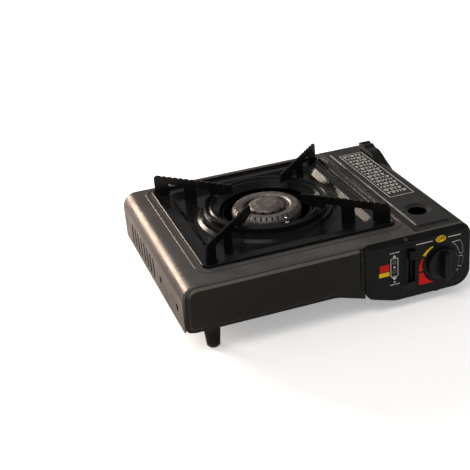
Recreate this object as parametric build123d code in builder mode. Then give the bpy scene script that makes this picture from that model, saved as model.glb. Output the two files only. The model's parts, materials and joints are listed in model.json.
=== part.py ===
"""Portable butane cassette stove, in millimetres.

+X runs right along the front, -Y is the front, +Z is up. The origin lies on the table
under the middle of the stove. Every piece is written to parts/ as its own STEP file.
"""

import os
from math import atan2, cos, degrees, hypot, pi, radians, sin, sqrt

from build123d import *

# ---------------------------------------------------------------- driving sizes
# Body
body_width = 340.0
body_depth = 276.0
top_z = 88.0  # top plate above the table
left_floor_z = 31.0  # underside of the shallow burner side
bay_floor_z = 10.0  # underside of the deep cartridge side
sheet = 1.2  # steel sheet
edge_radius = 18.0  # rolled left top edge
right_edge_radius = 12.0  # right shoulder, which the lid shares
back_radius = 6.0
lip_width = 6.0  # folded lip round the open front
hem_thickness = 2.4  # doubled front edge of the shell, left of the control panel
hem_radius = 2.2
panel_recess = 0.3  # front panel behind the shell's front edge
tray_rim = 10.0  # tray's upturned edge inside the shell
slope_start_inset = 164.0  # the floor slopes down between these two distances from the right
slope_end_inset = 96.0
slope_bend_radius = 40.0
tray_corner = 16.0
tray_left_corner = 7.0
wall_corner = 8.0  # lower front corner of the side walls
side_seam_z = 55.0  # lid's lower edge on the right side
lid_strip_front = 3.5
lid_strip_back = 7.0
lid_gap = 0.5

# Drip pan, wind ring and pan supports; the pan fills what the margins and the lid leave
pan_left_margin = 34.5
lid_pan_gap = 9.5  # pan edge to the lid's hinge edge
lid_width = 66.0
pan_size = body_width - pan_left_margin - lid_pan_gap - lid_width
pan_front_margin = 28.6
pan_corner = 9.0
pan_overlap = 6.0  # pan border resting on the top plate
pan_sheet = 1.0
pan_seat_gap = 0.3
rim_width = 3.2
rim_height = 3.0
border_step_inset = 7.0  # small step down in the border
border_step = 0.8
border_width = 16.0
recess_run = 8.0
recess_depth = 7.0
well_radius = 0.226 * pan_size
well_lip_radius = well_radius + 8.0
well_lip_height = 4.0
ring_foot_radius = 0.3826 * pan_size
ring_radius = 0.3226 * pan_size
ring_step_radius = 0.2891 * pan_size
ring_inner_radius = 0.2478 * pan_size
ring_height = 15.5  # ring rim above the pan floor
ring_groove = 3.0  # depth of the groove inside the ring's rim
ring_lip_drop = 7.0
support_height = 25.0  # support tops above the top plate
support_outer_radius = 0.672 * pan_size
support_inner_radius = 0.2 * pan_size
support_thickness = 2.4
support_band = 9.5
support_corner = 5.0
notch_pitch = 8.0
notch_first = 56.0  # first notch from the burner's axis
notch_radius = 3.0
notch_depth = 0.8
foot_leg_width = 20.0
mid_leg_outer_radius = 0.487 * pan_size
mid_leg_width = 16.0
bead_offset = 4.5
bead_width = 4.0
bead_height = 1.0

# Burner
burner_radius = 0.1826 * pan_size
burner_top_z = 96.0
burner_base_z = 50.0
burner_wall = 2.5
burner_head_depth = 15.5  # burner top above the joint of its base and head
burner_screw_spacing = 20.0
burner_port_count = 36
burner_port_width = 1.6
inner_ring_radius = 0.0957 * pan_size
tube_radius = 8.5
tube_wall = 1.5
tube_z = 58.0
tube_bell_radius = 12.0

# Cartridge bay
bay_axis_inset = 37.0
bay_axis_z = 47.0
cartridge_radius = 33.5
partition_inset = 72.0
rail_spacing = 35.0
rail_width = 4.0

# Regulator
regulator_offset = 14.0  # regulator's front face behind the body's front plane
regulator_width = 28.0
regulator_length = 20.0
regulator_cover_radius = 11.5
regulator_cover_height = 7.0
boss_radius = 4.0
boss_spread = 16.0
boss_rise = 12.0
socket_radius = 19.0
socket_length = 4.0
collar_radius = 15.0
outlet_radius = 4.5
outlet_length = 34.0
nozzle_radius = 2.5
nozzle_length = 11.0
outlet_start = 12.0  # outlet's root left of the bay axis

# Front
panel_gap = 0.6  # front panel to the shell's hem
pad_margin_left = 1.2  # from the front panel's edges
pad_margin_right = 4.0
pad_margin_top = 0.6
pad_margin_bottom = 3.5
pad_height = 3.0
pad_upper_left_corner = 13.5
pad_upper_right_corner = 4.0
pad_lower_corner = 7.0
control_left_inset = 130.0
control_left_gap = 0.5  # front panel to control panel
control_right_margin = 0.4
control_proud = 5.0
control_wall = 2.2
control_bevel = 6.0
control_side_bevel = 5.0
control_edge = 1.0  # flat left edge behind its bevel
control_hollow_inset = 6.0
control_corner = 20.0
control_upper_corner = 13.0
screw_inset = 81.0

# Knob and ignition
knob_reach = 20.0  # front of the knob ahead of the body
knob_radius = 18.5
knob_skirt = 5.0
knob_gap = 0.6
knob_grip_width = 9.0
knob_grip_length = 35.0
spindle_radius = 3.0
fit_gap = 0.05
running_gap = 0.3
knob_turn = 135.0  # degrees from OFF to ignition
spring_radius = 4.8
spring_wire_radius = 0.4
spring_turns = 4
cam_radius = 7.0
cam_lift = 5.0
cam_width = 5.0
piezo_size = 10.0
piezo_height = 20.0

# Lock lever and cartridge clamp
lever_inset = 75.5
lever_travel = 30.0
lever_thickness = 2.0
lever_front_offset = 13.0  # lever plate behind the body's front plane
lever_length = 26.0
button_z = 67.0  # button's centre when released
button_width = 8.6
button_height = 10.0
button_reach = 6.0  # button ahead of the control panel's face
guide_left_inset = 88.5
guide_right_inset = 70.0
guide_height = 56.0
guide_z = 50.0
clamp_travel = 6.0
clamp_pin_radius = 1.5
clamp_pin_z = 46.0
clamp_pin_offset = 24.0  # drive pin behind the body's front plane
clamp_pin_spacing = 7.0
clamp_leg_height = 11.0
clamp_plate_offset = 46.0
clamp_notch_radius = 17.3

# Lid
hinge_radius = 3.0
hinge_pin_radius = 1.2
lid_panel_height = 1.5
lid_panel_margin = 7.5
lid_panel_front = 10.0
lid_panel_right = 16.0
peep_radius = 11.0
peep_flange = 16.0
peep_y = -76.0

# Screws
screw_radius = 2.0
screw_head_radius = 3.8
screw_head_height = 1.6

# ---------------------------------------------------------------- worked-out places
x_right = body_width / 2
x_left = -x_right
slope_start_x = x_right - slope_start_inset
slope_end_x = x_right - slope_end_inset
bay_axis_x = x_right - bay_axis_inset
partition_x = x_right - partition_inset
control_left_x = x_right - control_left_inset
panel_right_x = control_left_x - control_left_gap
screw_x = x_right - screw_inset
lever_x = x_right - lever_inset
guide_left_x = x_right - guide_left_inset
guide_right_x = x_right - guide_right_inset
y_front = (knob_reach - body_depth - screw_head_height) / 2
y_back = y_front + body_depth
lip_y = y_front + panel_recess + sheet  # front face of the folded lip
tray_front_y = lip_y
tray_back_y = y_back - sheet
rim_z = left_floor_z + tray_rim
pan_x = x_left + pan_left_margin + pan_size / 2
pan_y = y_front + pan_front_margin + pan_size / 2
pan_z = top_z + pan_seat_gap  # underside of the pan border
pan_floor_z = pan_z - recess_depth
ring_top_z = pan_floor_z + pan_sheet + ring_height
support_top_z = top_z + support_height
lid_left_x = pan_x + pan_size / 2 + lid_pan_gap
hinge_x = lid_left_x + hinge_radius
hinge_z = top_z - hinge_radius
lid_front_y = y_front + lid_strip_front + lid_gap
lid_back_y = y_back - lid_strip_back - lid_gap
control_face_y = y_front - control_proud
control_right_x = x_right - control_right_margin
control_top_z = top_z - panel_recess
frame_y = y_front + panel_recess  # front face of the steel front frame
knob_face_y = y_front - knob_reach
slot_z = button_z - lever_travel / 2
bay_floor_top = bay_floor_z + sheet
left_floor_top = left_floor_z + sheet
partition_right_x = partition_x + sheet
lever_y = y_front + lever_front_offset  # front edge of the lever plate
clamp_pin_y = y_front + clamp_pin_offset
clamp_plate_y = y_front + clamp_plate_offset
regulator_y = y_front + regulator_offset
head_z = burner_top_z - burner_head_depth  # joint between the burner's bowl and its head


def front_plane(x, y, z):
    """Sketch plane that faces the front: local x is +X and local y is +Z."""
    return Plane(origin=(x, y, z), x_dir=(1, 0, 0), z_dir=(0, -1, 0))


def right_plane(x, y, z):
    """Sketch plane that faces right: local x is +Y and local y is +Z."""
    return Plane(origin=(x, y, z), x_dir=(0, 1, 0), z_dir=(1, 0, 0))


def round_corner(sketch, corner, radius):
    """Fillets the corner of a sketch nearest to a point given in the sketch's own plane."""
    nearest = min(sketch.vertices(), key=lambda v: hypot(v.X - corner[0], v.Y - corner[1]))
    fillet(nearest, radius)


def floor_z_at(x):
    """Underside of the body in front view: level, then sloping, then level again."""
    if x <= slope_start_x:
        return left_floor_z
    if x >= slope_end_x:
        return bay_floor_z
    share = (x - slope_start_x) / (slope_end_x - slope_start_x)
    return left_floor_z + share * (bay_floor_z - left_floor_z)


def rod(plane, radius, length):
    """Round bar that starts on a plane and runs along its normal."""
    with BuildPart() as bar:
        with BuildSketch(plane):
            Circle(radius)
        extrude(amount=length)
    return bar.part


def screw_solids(planes, shank_length):
    """Pan-head screws; each plane lies under the head and faces out of the surface."""
    with BuildPart() as screws:
        for plane in planes:
            with BuildSketch(plane):
                Circle(screw_head_radius)
            extrude(amount=screw_head_height)
            with BuildSketch(plane):
                Circle(screw_radius)
            extrude(amount=-shank_length)
    return screws.part


# ---------------------------------------------------------------- body
def tunnel_block(inset, y_start, y_end, rounded_back):
    """Solid inside the body's skin, moved in by an inset, from y_start to y_end."""
    with BuildPart() as block:
        with BuildSketch(front_plane(0, y_end, 0)) as section:
            with Locations((0, (left_floor_z + top_z - inset) / 2)):
                Rectangle(body_width - 2 * inset, top_z - inset - left_floor_z)
            round_corner(section, (x_left, top_z), edge_radius - inset)
            round_corner(section, (x_right, top_z), right_edge_radius - inset)
        extrude(amount=y_end - y_start)
        if rounded_back:
            back_edges = block.faces().sort_by(Axis.Y)[-1].edges()
            fillet(back_edges.sort_by(Axis.Z)[1:], back_radius - inset)
    return block.part


def hem_region(y_start, y_end):
    """Everything left of the control panel between two depths."""
    with BuildPart() as region:
        with BuildSketch(front_plane(x_left - sheet, y_end, 0)):
            size = (panel_right_x - x_left + sheet, top_z + sheet)
            Rectangle(*size, align=(Align.MIN, Align.MIN))
        extrude(amount=y_end - y_start)
    return region.part


def hem_rounding():
    """What a rounded front edge takes off the shell, left of the control panel."""
    with BuildPart() as rounded:
        add(tunnel_block(0, y_front, y_front + edge_radius, False))
        front_edges = rounded.faces().sort_by(Axis.Y)[0].edges()
        fillet([e for e in front_edges if e.center().Z > left_floor_z + sheet], hem_radius)
    with BuildPart() as rounding:
        add(hem_region(y_front - sheet, y_front + hem_radius))
        add(rounded.part, mode=Mode.SUBTRACT)
    return rounding.part


def make_body_shell():
    outer = tunnel_block(0, y_front, y_back, True)
    inner = tunnel_block(sheet, y_front - sheet, y_back - sheet, True)
    lip = tunnel_block(sheet, lip_y, lip_y + sheet, False)
    mouth = tunnel_block(sheet + lip_width, lip_y - sheet, lip_y + 2 * sheet, False)
    with BuildPart() as shell:
        add(outer)
        add(inner, mode=Mode.SUBTRACT)
        add(lip)
        # doubled edge that frames the front panel
        with BuildPart(mode=Mode.PRIVATE) as hem:
            add(tunnel_block(0, y_front, lip_y + sheet, False))
            add(hem_region(y_front, lip_y + sheet), mode=Mode.INTERSECT)
            add(tunnel_block(hem_thickness, y_front - sheet, lip_y + 2 * sheet, False), mode=Mode.SUBTRACT)
        add(hem.part)
        add(mouth, mode=Mode.SUBTRACT)
        # the lip and the hem stop above the tray's edge
        with BuildSketch(front_plane(0, lip_y + 2 * sheet, left_floor_z)):
            Rectangle(body_width - 2 * sheet, 2 * tray_rim + 1.0)
        extrude(amount=4 * sheet, mode=Mode.SUBTRACT)
        add(hem_rounding(), mode=Mode.SUBTRACT)
        # opening under the drip pan
        with BuildSketch(Plane.XY.offset(top_z - 2 * sheet)):
            with Locations((pan_x, pan_y)):
                RectangleRounded(pan_size - 2 * pan_overlap, pan_size - 2 * pan_overlap, pan_corner)
        extrude(amount=4 * sheet, mode=Mode.SUBTRACT)
        # opening under the lid, over the top and down the right side
        lid_length = body_depth - lid_strip_front - lid_strip_back
        with BuildSketch(Plane.XY.offset(side_seam_z)):
            with Locations((lid_left_x - lid_gap, y_front + lid_strip_front)):
                Rectangle(x_right, lid_length, align=(Align.MIN, Align.MIN))
        extrude(amount=top_z, mode=Mode.SUBTRACT)
        # raised bead round the drip pan
        bead_size = pan_size + 2 * bead_offset
        with BuildSketch(Plane.XY.offset(top_z)):
            with Locations((pan_x, pan_y)):
                outer_size = bead_size + 2 * bead_width
                RectangleRounded(outer_size, outer_size, pan_corner + bead_offset + bead_width)
                RectangleRounded(bead_size, bead_size, pan_corner + bead_offset, mode=Mode.SUBTRACT)
        extrude(amount=bead_height)
        fillet(shell.faces().sort_by(Axis.Z)[-1].edges(), bead_height * 0.8)
        # rounded lower front corners of the side walls
        with BuildSketch(right_plane(x_left - sheet, y_front, left_floor_z)):
            Rectangle(wall_corner, wall_corner, align=(Align.MIN, Align.MIN))
            with Locations((wall_corner, wall_corner)):
                Circle(wall_corner, mode=Mode.SUBTRACT)
        extrude(amount=body_width + 2 * sheet, mode=Mode.SUBTRACT)
        add(side_vents(), mode=Mode.SUBTRACT)
        add(back_vents(), mode=Mode.SUBTRACT)
        add(back_screw_holes(), mode=Mode.SUBTRACT)
    return shell.part


side_vent_count = 8
side_vent_pitch = 14.5
side_vent_length = 26.0
side_vent_width = 5.4
side_vent_first_y = -2.0
side_vent_z = 51.5
side_hole_radius = 4.2
side_hole_y = (-33.0, -102.0)


def side_vents():
    """Cutters for the upright slots and two round holes in the left wall."""
    with BuildPart() as cutters:
        with BuildSketch(right_plane(x_left - sheet, 0, side_vent_z)):
            for i in range(side_vent_count):
                with Locations((side_vent_first_y + i * side_vent_pitch, 0)):
                    SlotOverall(side_vent_length, side_vent_width, rotation=90)
            for y in side_hole_y:
                with Locations((y, 0)):
                    Circle(side_hole_radius)
        extrude(amount=3 * sheet)
    return cutters.part


back_vent_columns = 9
back_vent_pitch = 18.0
back_vent_length = 12.0
back_vent_width = 3.2
back_screw_spacing = 140.0
back_screw_z = left_floor_z + tray_rim / 2


def back_vents():
    """Cutters for two rows of slots in the back wall, behind the burner."""
    with BuildPart() as cutters:
        with BuildSketch(front_plane(pan_x, y_back + sheet, (left_floor_z + top_z) / 2)):
            with GridLocations(back_vent_pitch, 1.4 * back_vent_length, back_vent_columns, 2):
                SlotOverall(back_vent_length, back_vent_width, rotation=90)
        extrude(amount=3 * sheet)
    return cutters.part


def back_screw_planes():
    return [
        Plane(origin=(x, y_back, back_screw_z), x_dir=(1, 0, 0), z_dir=(0, 1, 0))
        for x in (-back_screw_spacing, 0, back_screw_spacing)
    ]


def back_screw_holes():
    with BuildPart() as cutters:
        for plane in back_screw_planes():
            with BuildSketch(plane.offset(sheet)):
                Circle(screw_radius)
            extrude(amount=-4 * sheet)
    return cutters.part


def tray_block(inset, upper_z):
    """Solid inside the tray's skin, moved in by an inset, with its top at upper_z."""
    half_width = body_width / 2 - sheet
    with BuildPart() as block:
        with BuildSketch(front_plane(0, tray_back_y, 0)) as section:
            with BuildLine():
                Polyline(
                    (-half_width, upper_z),
                    (-half_width, left_floor_z),
                    (slope_start_x, left_floor_z),
                    (slope_end_x, bay_floor_z),
                    (half_width, bay_floor_z),
                    (half_width, upper_z),
                    close=True,
                )
            make_face()
            round_corner(section, (-half_width, left_floor_z), tray_left_corner)
            round_corner(section, (half_width, bay_floor_z), tray_corner)
            round_corner(section, (slope_start_x, left_floor_z), slope_bend_radius)
            round_corner(section, (slope_end_x, bay_floor_z), slope_bend_radius)
            if inset:
                offset(amount=-inset, mode=Mode.REPLACE)
        extrude(amount=tray_back_y - tray_front_y)
        # round the upright back corners in plan
        with BuildSketch(Plane.XY) as plan:
            width = body_width - 2 * sheet - 2 * inset
            length = tray_back_y - tray_front_y - 2 * inset
            with Locations((0, (tray_back_y + tray_front_y) / 2)):
                Rectangle(width, length)
            fillet(plan.vertices().group_by(Axis.Y)[-1], back_radius - sheet - inset)
        extrude(amount=2 * top_z, mode=Mode.INTERSECT)
    return block.part


tray_vent_rows = 5
tray_vent_pitch = 14.0
tray_vent_length = 60.0
tray_vent_width = 4.0


def make_base_tray():
    inner = tray_block(sheet, rim_z + 2 * sheet)
    with BuildPart() as tray:
        add(tray_block(0, rim_z))
        add(inner, mode=Mode.SUBTRACT)
        # the left floor breathes under the burner
        with BuildSketch(Plane.XY.offset(left_floor_z - sheet)):
            with Locations((pan_x - tray_vent_length, pan_y)):
                with GridLocations(1.6 * tray_vent_length, tray_vent_pitch, 2, tray_vent_rows):
                    SlotOverall(tray_vent_length, tray_vent_width)
        extrude(amount=3 * sheet, mode=Mode.SUBTRACT)
        for x, y, floor_z in foot_places():
            with BuildSketch(Plane.XY.offset(floor_z - sheet)):
                with Locations((x, y)):
                    Circle(screw_radius)
            extrude(amount=3 * sheet, mode=Mode.SUBTRACT)
        add(back_screw_holes(), mode=Mode.SUBTRACT)
        # the lock lever's tab comes down through the front wall
        with BuildSketch(front_plane(lever_x, tray_front_y + 2 * sheet, slot_z)):
            Rectangle(*lever_slot_rectangle())
        extrude(amount=3 * sheet, mode=Mode.SUBTRACT)
    return tray.part


# ---------------------------------------------------------------- feet
foot_side_inset = 33.6
foot_end_inset = 17.5
foot_radius = 9.5
foot_tip_radius = 7.5
foot_edge = 1.6
foot_bore_radius = 4.2
foot_web = 6.0
foot_flare_radius = 15.0  # the long feet widen under the floor
foot_flare_height = 8.0


def foot_places():
    """Foot centres with the floor each one hangs from: front left, back left, and right."""
    y_places = (y_front + foot_end_inset, y_back - foot_end_inset)
    left = [(x_left + foot_side_inset, y, left_floor_z) for y in y_places]
    right = [(x_right - foot_side_inset, y, bay_floor_z) for y in y_places]
    return left + right


def make_foot(x, y, height):
    web = min(foot_web, height / 2)
    outline = [
        (foot_bore_radius, 0),
        (foot_tip_radius - foot_edge, 0),
        (foot_tip_radius, foot_edge),
    ]
    if height > 2 * foot_flare_height:
        middle = (foot_radius + foot_flare_radius) / 2
        outline += [
            (foot_radius, height - foot_flare_height),
            (middle, height - foot_flare_height / 3),
            (foot_flare_radius, height - foot_flare_height / 8),
            (foot_flare_radius, height),
        ]
    else:
        outline += [(foot_radius, height)]
    outline += [
        (screw_radius, height),
        (screw_radius, height - web),
        (foot_bore_radius, height - web),
    ]
    with BuildPart() as foot:
        with BuildSketch(Plane(origin=(x, y, 0), x_dir=(1, 0, 0), z_dir=(0, -1, 0))):
            with BuildLine():
                Polyline(*outline, close=True)
            make_face()
        revolve(axis=Axis((x, y, 0), (0, 0, 1)))
    return foot.part


def make_foot_screws():
    """Each screw stands in its foot's bore, head down, and passes through the floor."""
    planes = []
    for x, y, floor_z in foot_places():
        web = min(foot_web, floor_z / 2)
        planes.append(Plane(origin=(x, y, floor_z - web), x_dir=(1, 0, 0), z_dir=(0, 0, -1)))
    return screw_solids(planes, foot_web + 2 * sheet)


# ---------------------------------------------------------------- front
def make_front_panel():
    left_x = x_left + hem_thickness + panel_gap
    upper_z = top_z - hem_thickness - panel_gap
    with BuildPart() as panel:
        with BuildSketch(front_plane(0, lip_y, 0)) as outline:
            with BuildLine():
                Polyline(
                    (left_x, left_floor_z),
                    (slope_start_x, left_floor_z),
                    (panel_right_x, floor_z_at(panel_right_x)),
                    (panel_right_x, upper_z),
                    (left_x, upper_z),
                    close=True,
                )
            make_face()
            round_corner(outline, (left_x, upper_z), edge_radius - hem_thickness - panel_gap)
            round_corner(outline, (left_x, left_floor_z), edge_radius / 2)
            round_corner(outline, (slope_start_x, left_floor_z), slope_bend_radius)
        extrude(amount=sheet)
        # pressed pad with a bevelled edge
        pad_left = left_x + pad_margin_left
        pad_right = panel_right_x - pad_margin_right
        pad_bottom = left_floor_z + pad_margin_bottom
        pad_top = upper_z - pad_margin_top
        with BuildSketch(front_plane(0, lip_y - sheet, 0)) as pad:
            with Locations(((pad_left + pad_right) / 2, (pad_bottom + pad_top) / 2)):
                Rectangle(pad_right - pad_left, pad_top - pad_bottom)
            round_corner(pad, (pad_left, pad_top), pad_upper_left_corner)
            round_corner(pad, (pad_right, pad_top), pad_upper_right_corner)
            round_corner(pad, (pad_left, pad_bottom), pad_lower_corner)
            round_corner(pad, (pad_right, pad_bottom), pad_lower_corner)
        extrude(amount=pad_height)
        chamfer(panel.faces().sort_by(Axis.Y)[0].edges(), pad_height * 0.9)
    return panel.part


def bay_front_outline(plane, right_x, lower_gap, upper_z, radii, inset=0.0):
    """Face outline of the cartridge side, on a plane that faces the front.

    Its lower edge follows the floor; radii are those of the lower right, upper right,
    upper left and lower left corners.
    """
    lower_left = (control_left_x, floor_z_at(control_left_x) + lower_gap)
    slope_end = (slope_end_x, bay_floor_z + lower_gap)
    corners = [(right_x, bay_floor_z + lower_gap), (right_x, upper_z), (control_left_x, upper_z)]
    with BuildSketch(plane) as outline:
        with BuildLine():
            Polyline(lower_left, slope_end, *corners, close=True)
        make_face()
        for corner, radius in zip(corners + [lower_left], radii):
            round_corner(outline, corner, radius)
        round_corner(outline, slope_end, slope_bend_radius)
        if inset:
            offset(amount=-inset, mode=Mode.REPLACE)
    return outline.sketch


def control_outline(plane, inset):
    radii = (control_corner, control_upper_corner, control_proud, control_corner / 2)
    return bay_front_outline(plane, control_right_x, 1.0, control_top_z, radii, inset)


def bevel_plane():
    """Plane on the middle of the control panel's top bevel, at its screw."""
    middle = (screw_x, y_front - control_proud / 2, control_top_z - control_bevel / 2)
    return Plane(origin=middle, x_dir=(1, 0, 0), z_dir=(0, -control_bevel, control_proud))


def make_control_panel():
    with BuildPart() as panel:
        add(control_outline(front_plane(0, y_front, 0), 0))
        extrude(amount=control_proud, dir=(0, -1, 0))
        fillet(panel.faces().sort_by(Axis.Y)[0].edges(), control_wall * 0.8)
        # bevels along the top and left edges
        with BuildSketch(right_plane(control_left_x - sheet, 0, 0)):
            with BuildLine():
                Polyline(
                    (control_face_y, control_top_z - control_bevel),
                    (y_front, control_top_z),
                    (control_face_y, control_top_z),
                    close=True,
                )
            make_face()
        extrude(amount=body_width, mode=Mode.SUBTRACT)
        with BuildSketch(Plane.XY):
            with BuildLine():
                Polyline(
                    (control_left_x + control_side_bevel, control_face_y),
                    (control_left_x, y_front - control_edge),
                    (control_left_x, control_face_y),
                    close=True,
                )
            make_face()
        extrude(amount=top_z, mode=Mode.SUBTRACT)
        # hollow behind the face
        add(control_outline(front_plane(0, y_front, 0), control_hollow_inset))
        extrude(amount=control_proud - control_wall, dir=(0, -1, 0), mode=Mode.SUBTRACT)
        # window for the lever guide, and the spindle's hole
        with BuildSketch(front_plane(0, frame_y, 0)):
            with Locations(((guide_left_x + guide_right_x) / 2, guide_z)):
                Rectangle(guide_right_x - guide_left_x, guide_height)
            with Locations((bay_axis_x, bay_axis_z)):
                Circle(2 * spindle_radius)
        extrude(amount=2 * control_proud, mode=Mode.SUBTRACT)
        with BuildSketch(bevel_plane()):
            Circle(bevel_screw_radius)
        extrude(amount=-bevel_screw_length, mode=Mode.SUBTRACT)
    return panel.part


bevel_screw_radius = 1.2
bevel_screw_head = 2.2
bevel_screw_length = 3.8


def make_control_panel_screw():
    with BuildPart() as screw:
        with BuildSketch(bevel_plane()):
            Circle(bevel_screw_head)
        extrude(amount=bevel_screw_radius)
        with BuildSketch(bevel_plane()):
            Circle(bevel_screw_radius)
        extrude(amount=-bevel_screw_length)
        chamfer(screw.faces().sort_by(Axis.Y)[0].edges().sort_by(Axis.Y)[0], 0.4)
    return screw.part


def lever_slot_rectangle():
    """Width and height of the slot that the lever's tab slides in."""
    return lever_thickness + 2 * running_gap, lever_travel + button_height + 2.0


def boss_places():
    """Regulator bosses, one each side of the spindle, in front view."""
    return [(bay_axis_x + side * boss_spread, bay_axis_z + boss_rise) for side in (-1, 1)]


def make_front_frame():
    right_x = x_right - sheet - panel_gap
    upper_z = top_z - sheet - panel_gap
    upper_radius = right_edge_radius - sheet - panel_gap
    radii = (tray_corner + 2.0, upper_radius, 1.0, 1.0)
    with BuildPart() as frame:
        add(bay_front_outline(front_plane(0, lip_y, 0), right_x, 0.5, upper_z, radii))
        extrude(amount=sheet, dir=(0, -1, 0))
        with BuildSketch(front_plane(0, lip_y + sheet, 0)):
            with Locations((lever_x, slot_z)):
                Rectangle(*lever_slot_rectangle())
            with Locations((bay_axis_x, bay_axis_z)):
                Circle(spindle_radius + 1.0)
            with Locations(*boss_places()):
                Circle(screw_radius)
        extrude(amount=3 * sheet, mode=Mode.SUBTRACT)
        with BuildSketch(bevel_plane()):
            Circle(bevel_screw_radius)
        extrude(amount=-bevel_screw_length, mode=Mode.SUBTRACT)
    return frame.part


def make_lever_guide():
    """Black moulding in the panel's window: a channel for the button beside two ribs."""
    front_y = control_face_y - panel_gap
    width = guide_right_x - guide_left_x
    channel_height = lever_travel + button_height + 2.0
    with BuildPart() as guide:
        with BuildSketch(front_plane((guide_left_x + guide_right_x) / 2, frame_y, guide_z)):
            Rectangle(width, guide_height)
        extrude(amount=frame_y - front_y)
        with BuildSketch(front_plane(0, frame_y - sheet, 0)):
            with Locations((lever_x, slot_z)):
                Rectangle(button_width + 2 * running_gap, channel_height)
        extrude(amount=control_proud * 2, mode=Mode.SUBTRACT)
        with BuildSketch(front_plane(0, frame_y, 0)):
            with Locations((lever_x, slot_z)):
                Rectangle(*lever_slot_rectangle())
        extrude(amount=2 * sheet, mode=Mode.SUBTRACT)
        # grooves that leave upright ribs left of the channel
        groove_width = width / 14
        with BuildSketch(front_plane(0, front_y + sheet, 0)):
            for i in range(3):
                with Locations((guide_left_x + (2 + 2.2 * i) * groove_width, slot_z)):
                    Rectangle(groove_width, channel_height + 4.0)
        extrude(amount=2 * sheet, mode=Mode.SUBTRACT)
    return guide.part


# ---------------------------------------------------------------- lock lever and clamp
def make_lock_lever():
    """Upright plate: its cam slot pulls the clamp forward as the button goes down."""
    margin = 4.0
    lower_z = clamp_pin_z - margin
    upper_z = clamp_pin_z + lever_travel + margin + 1.0
    slot_width = 2 * (clamp_pin_radius + running_gap)
    slot_rise = lever_travel
    slot_length = hypot(slot_rise, clamp_travel)
    slot_angle = degrees(atan2(slot_rise, -clamp_travel))
    with BuildPart() as lever:
        with BuildSketch(right_plane(lever_x - lever_thickness / 2, 0, 0)):
            with Locations((lever_y, lower_z)):
                Rectangle(lever_length, upper_z - lower_z, align=(Align.MIN, Align.MIN))
            with Locations((control_face_y, button_z)):
                tab_length = lever_y - control_face_y
                Rectangle(tab_length, button_height / 2, align=(Align.MIN, Align.CENTER))
        extrude(amount=lever_thickness)
        with BuildSketch(right_plane(lever_x - lever_thickness, 0, 0)):
            # cam slot, then the upright slot of the fixed guide pin
            with Locations((clamp_pin_y - clamp_travel / 2, clamp_pin_z + slot_rise / 2)):
                SlotCenterToCenter(slot_length, slot_width, rotation=slot_angle)
            with Locations((lever_guide_pin_y(), clamp_pin_z + slot_rise / 2)):
                SlotCenterToCenter(slot_rise, slot_width, rotation=90)
        extrude(amount=2 * lever_thickness, mode=Mode.SUBTRACT)
    return lever.part


def lever_guide_pin_y():
    return lever_y + lever_length - 3.2


def make_lever_button():
    back_y = control_face_y + 1.0
    front_y = control_face_y - button_reach
    with BuildPart() as button:
        with BuildSketch(front_plane(lever_x, back_y, button_z)):
            Rectangle(button_width, button_height)
        extrude(amount=back_y - front_y)
        fillet(button.faces().sort_by(Axis.Y)[0].edges(), 1.0)
        # finger ridges across the button
        for rise in (-2.4, 0, 2.4):
            with BuildSketch(front_plane(lever_x, front_y + 0.5, button_z + rise)):
                Rectangle(button_width, 0.8)
            extrude(amount=1.0, mode=Mode.SUBTRACT)
        # socket for the lever's tab
        with BuildSketch(front_plane(lever_x, back_y, button_z)):
            Rectangle(lever_thickness, button_height / 2)
        extrude(amount=back_y - control_face_y, mode=Mode.SUBTRACT)
    return button.part


def make_lever_guide_pin():
    """Shouldered pin riveted into the partition; the lever slides on it."""
    y = lever_guide_pin_y()
    with BuildPart() as pin:
        add(rod(right_plane(lever_x - lever_thickness, y, clamp_pin_z), clamp_pin_radius,
                partition_right_x - lever_x + lever_thickness))
        head_x = lever_x - lever_thickness / 2 - running_gap - sheet
        add(rod(right_plane(head_x, y, clamp_pin_z), 2 * clamp_pin_radius, sheet))
    return pin.part


def clamp_leg_span():
    """Front and back ends of the clamp's leg along Y."""
    return clamp_pin_y - 3 * clamp_pin_radius, clamp_plate_y + sheet


def make_cartridge_clamp():
    """Slide beside the partition with a notched plate that hooks the cartridge collar."""
    leg_front, leg_back = clamp_leg_span()
    leg_x = partition_right_x + running_gap
    plate_lower = bay_floor_top + running_gap + sheet
    plate_upper = clamp_pin_z + clamp_leg_height / 2
    with BuildPart() as clamp:
        with BuildSketch(right_plane(leg_x, leg_front, clamp_pin_z)):
            Rectangle(leg_back - leg_front, clamp_leg_height, align=(Align.MIN, Align.CENTER))
        extrude(amount=sheet)
        with BuildSketch(front_plane(0, clamp_plate_y + sheet, 0)) as plate:
            width = x_right - tray_corner / 2 - leg_x
            with Locations((leg_x, plate_lower)):
                Rectangle(width, plate_upper - plate_lower, align=(Align.MIN, Align.MIN))
            fillet(plate.vertices().group_by(Axis.Y)[0].sort_by(Axis.X)[-1], tray_corner * 0.6)
            fillet(plate.vertices().group_by(Axis.Y)[-1], 4.0)
            with Locations((bay_axis_x, bay_axis_z)):
                Circle(clamp_notch_radius, mode=Mode.SUBTRACT)
            with Locations((bay_axis_x, bay_axis_z)):
                Rectangle(2 * clamp_notch_radius, top_z, align=(Align.CENTER, Align.MIN),
                          mode=Mode.SUBTRACT)
        extrude(amount=sheet)
        for y in clamp_pin_places():
            with BuildSketch(right_plane(leg_x - sheet, y, clamp_pin_z)):
                Circle(clamp_pin_radius)
            extrude(amount=3 * sheet, mode=Mode.SUBTRACT)
    return clamp.part


def clamp_pin_places():
    """Drive pin, then the follower pin behind it, along Y."""
    return clamp_pin_y, clamp_pin_y + clamp_pin_spacing


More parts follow.
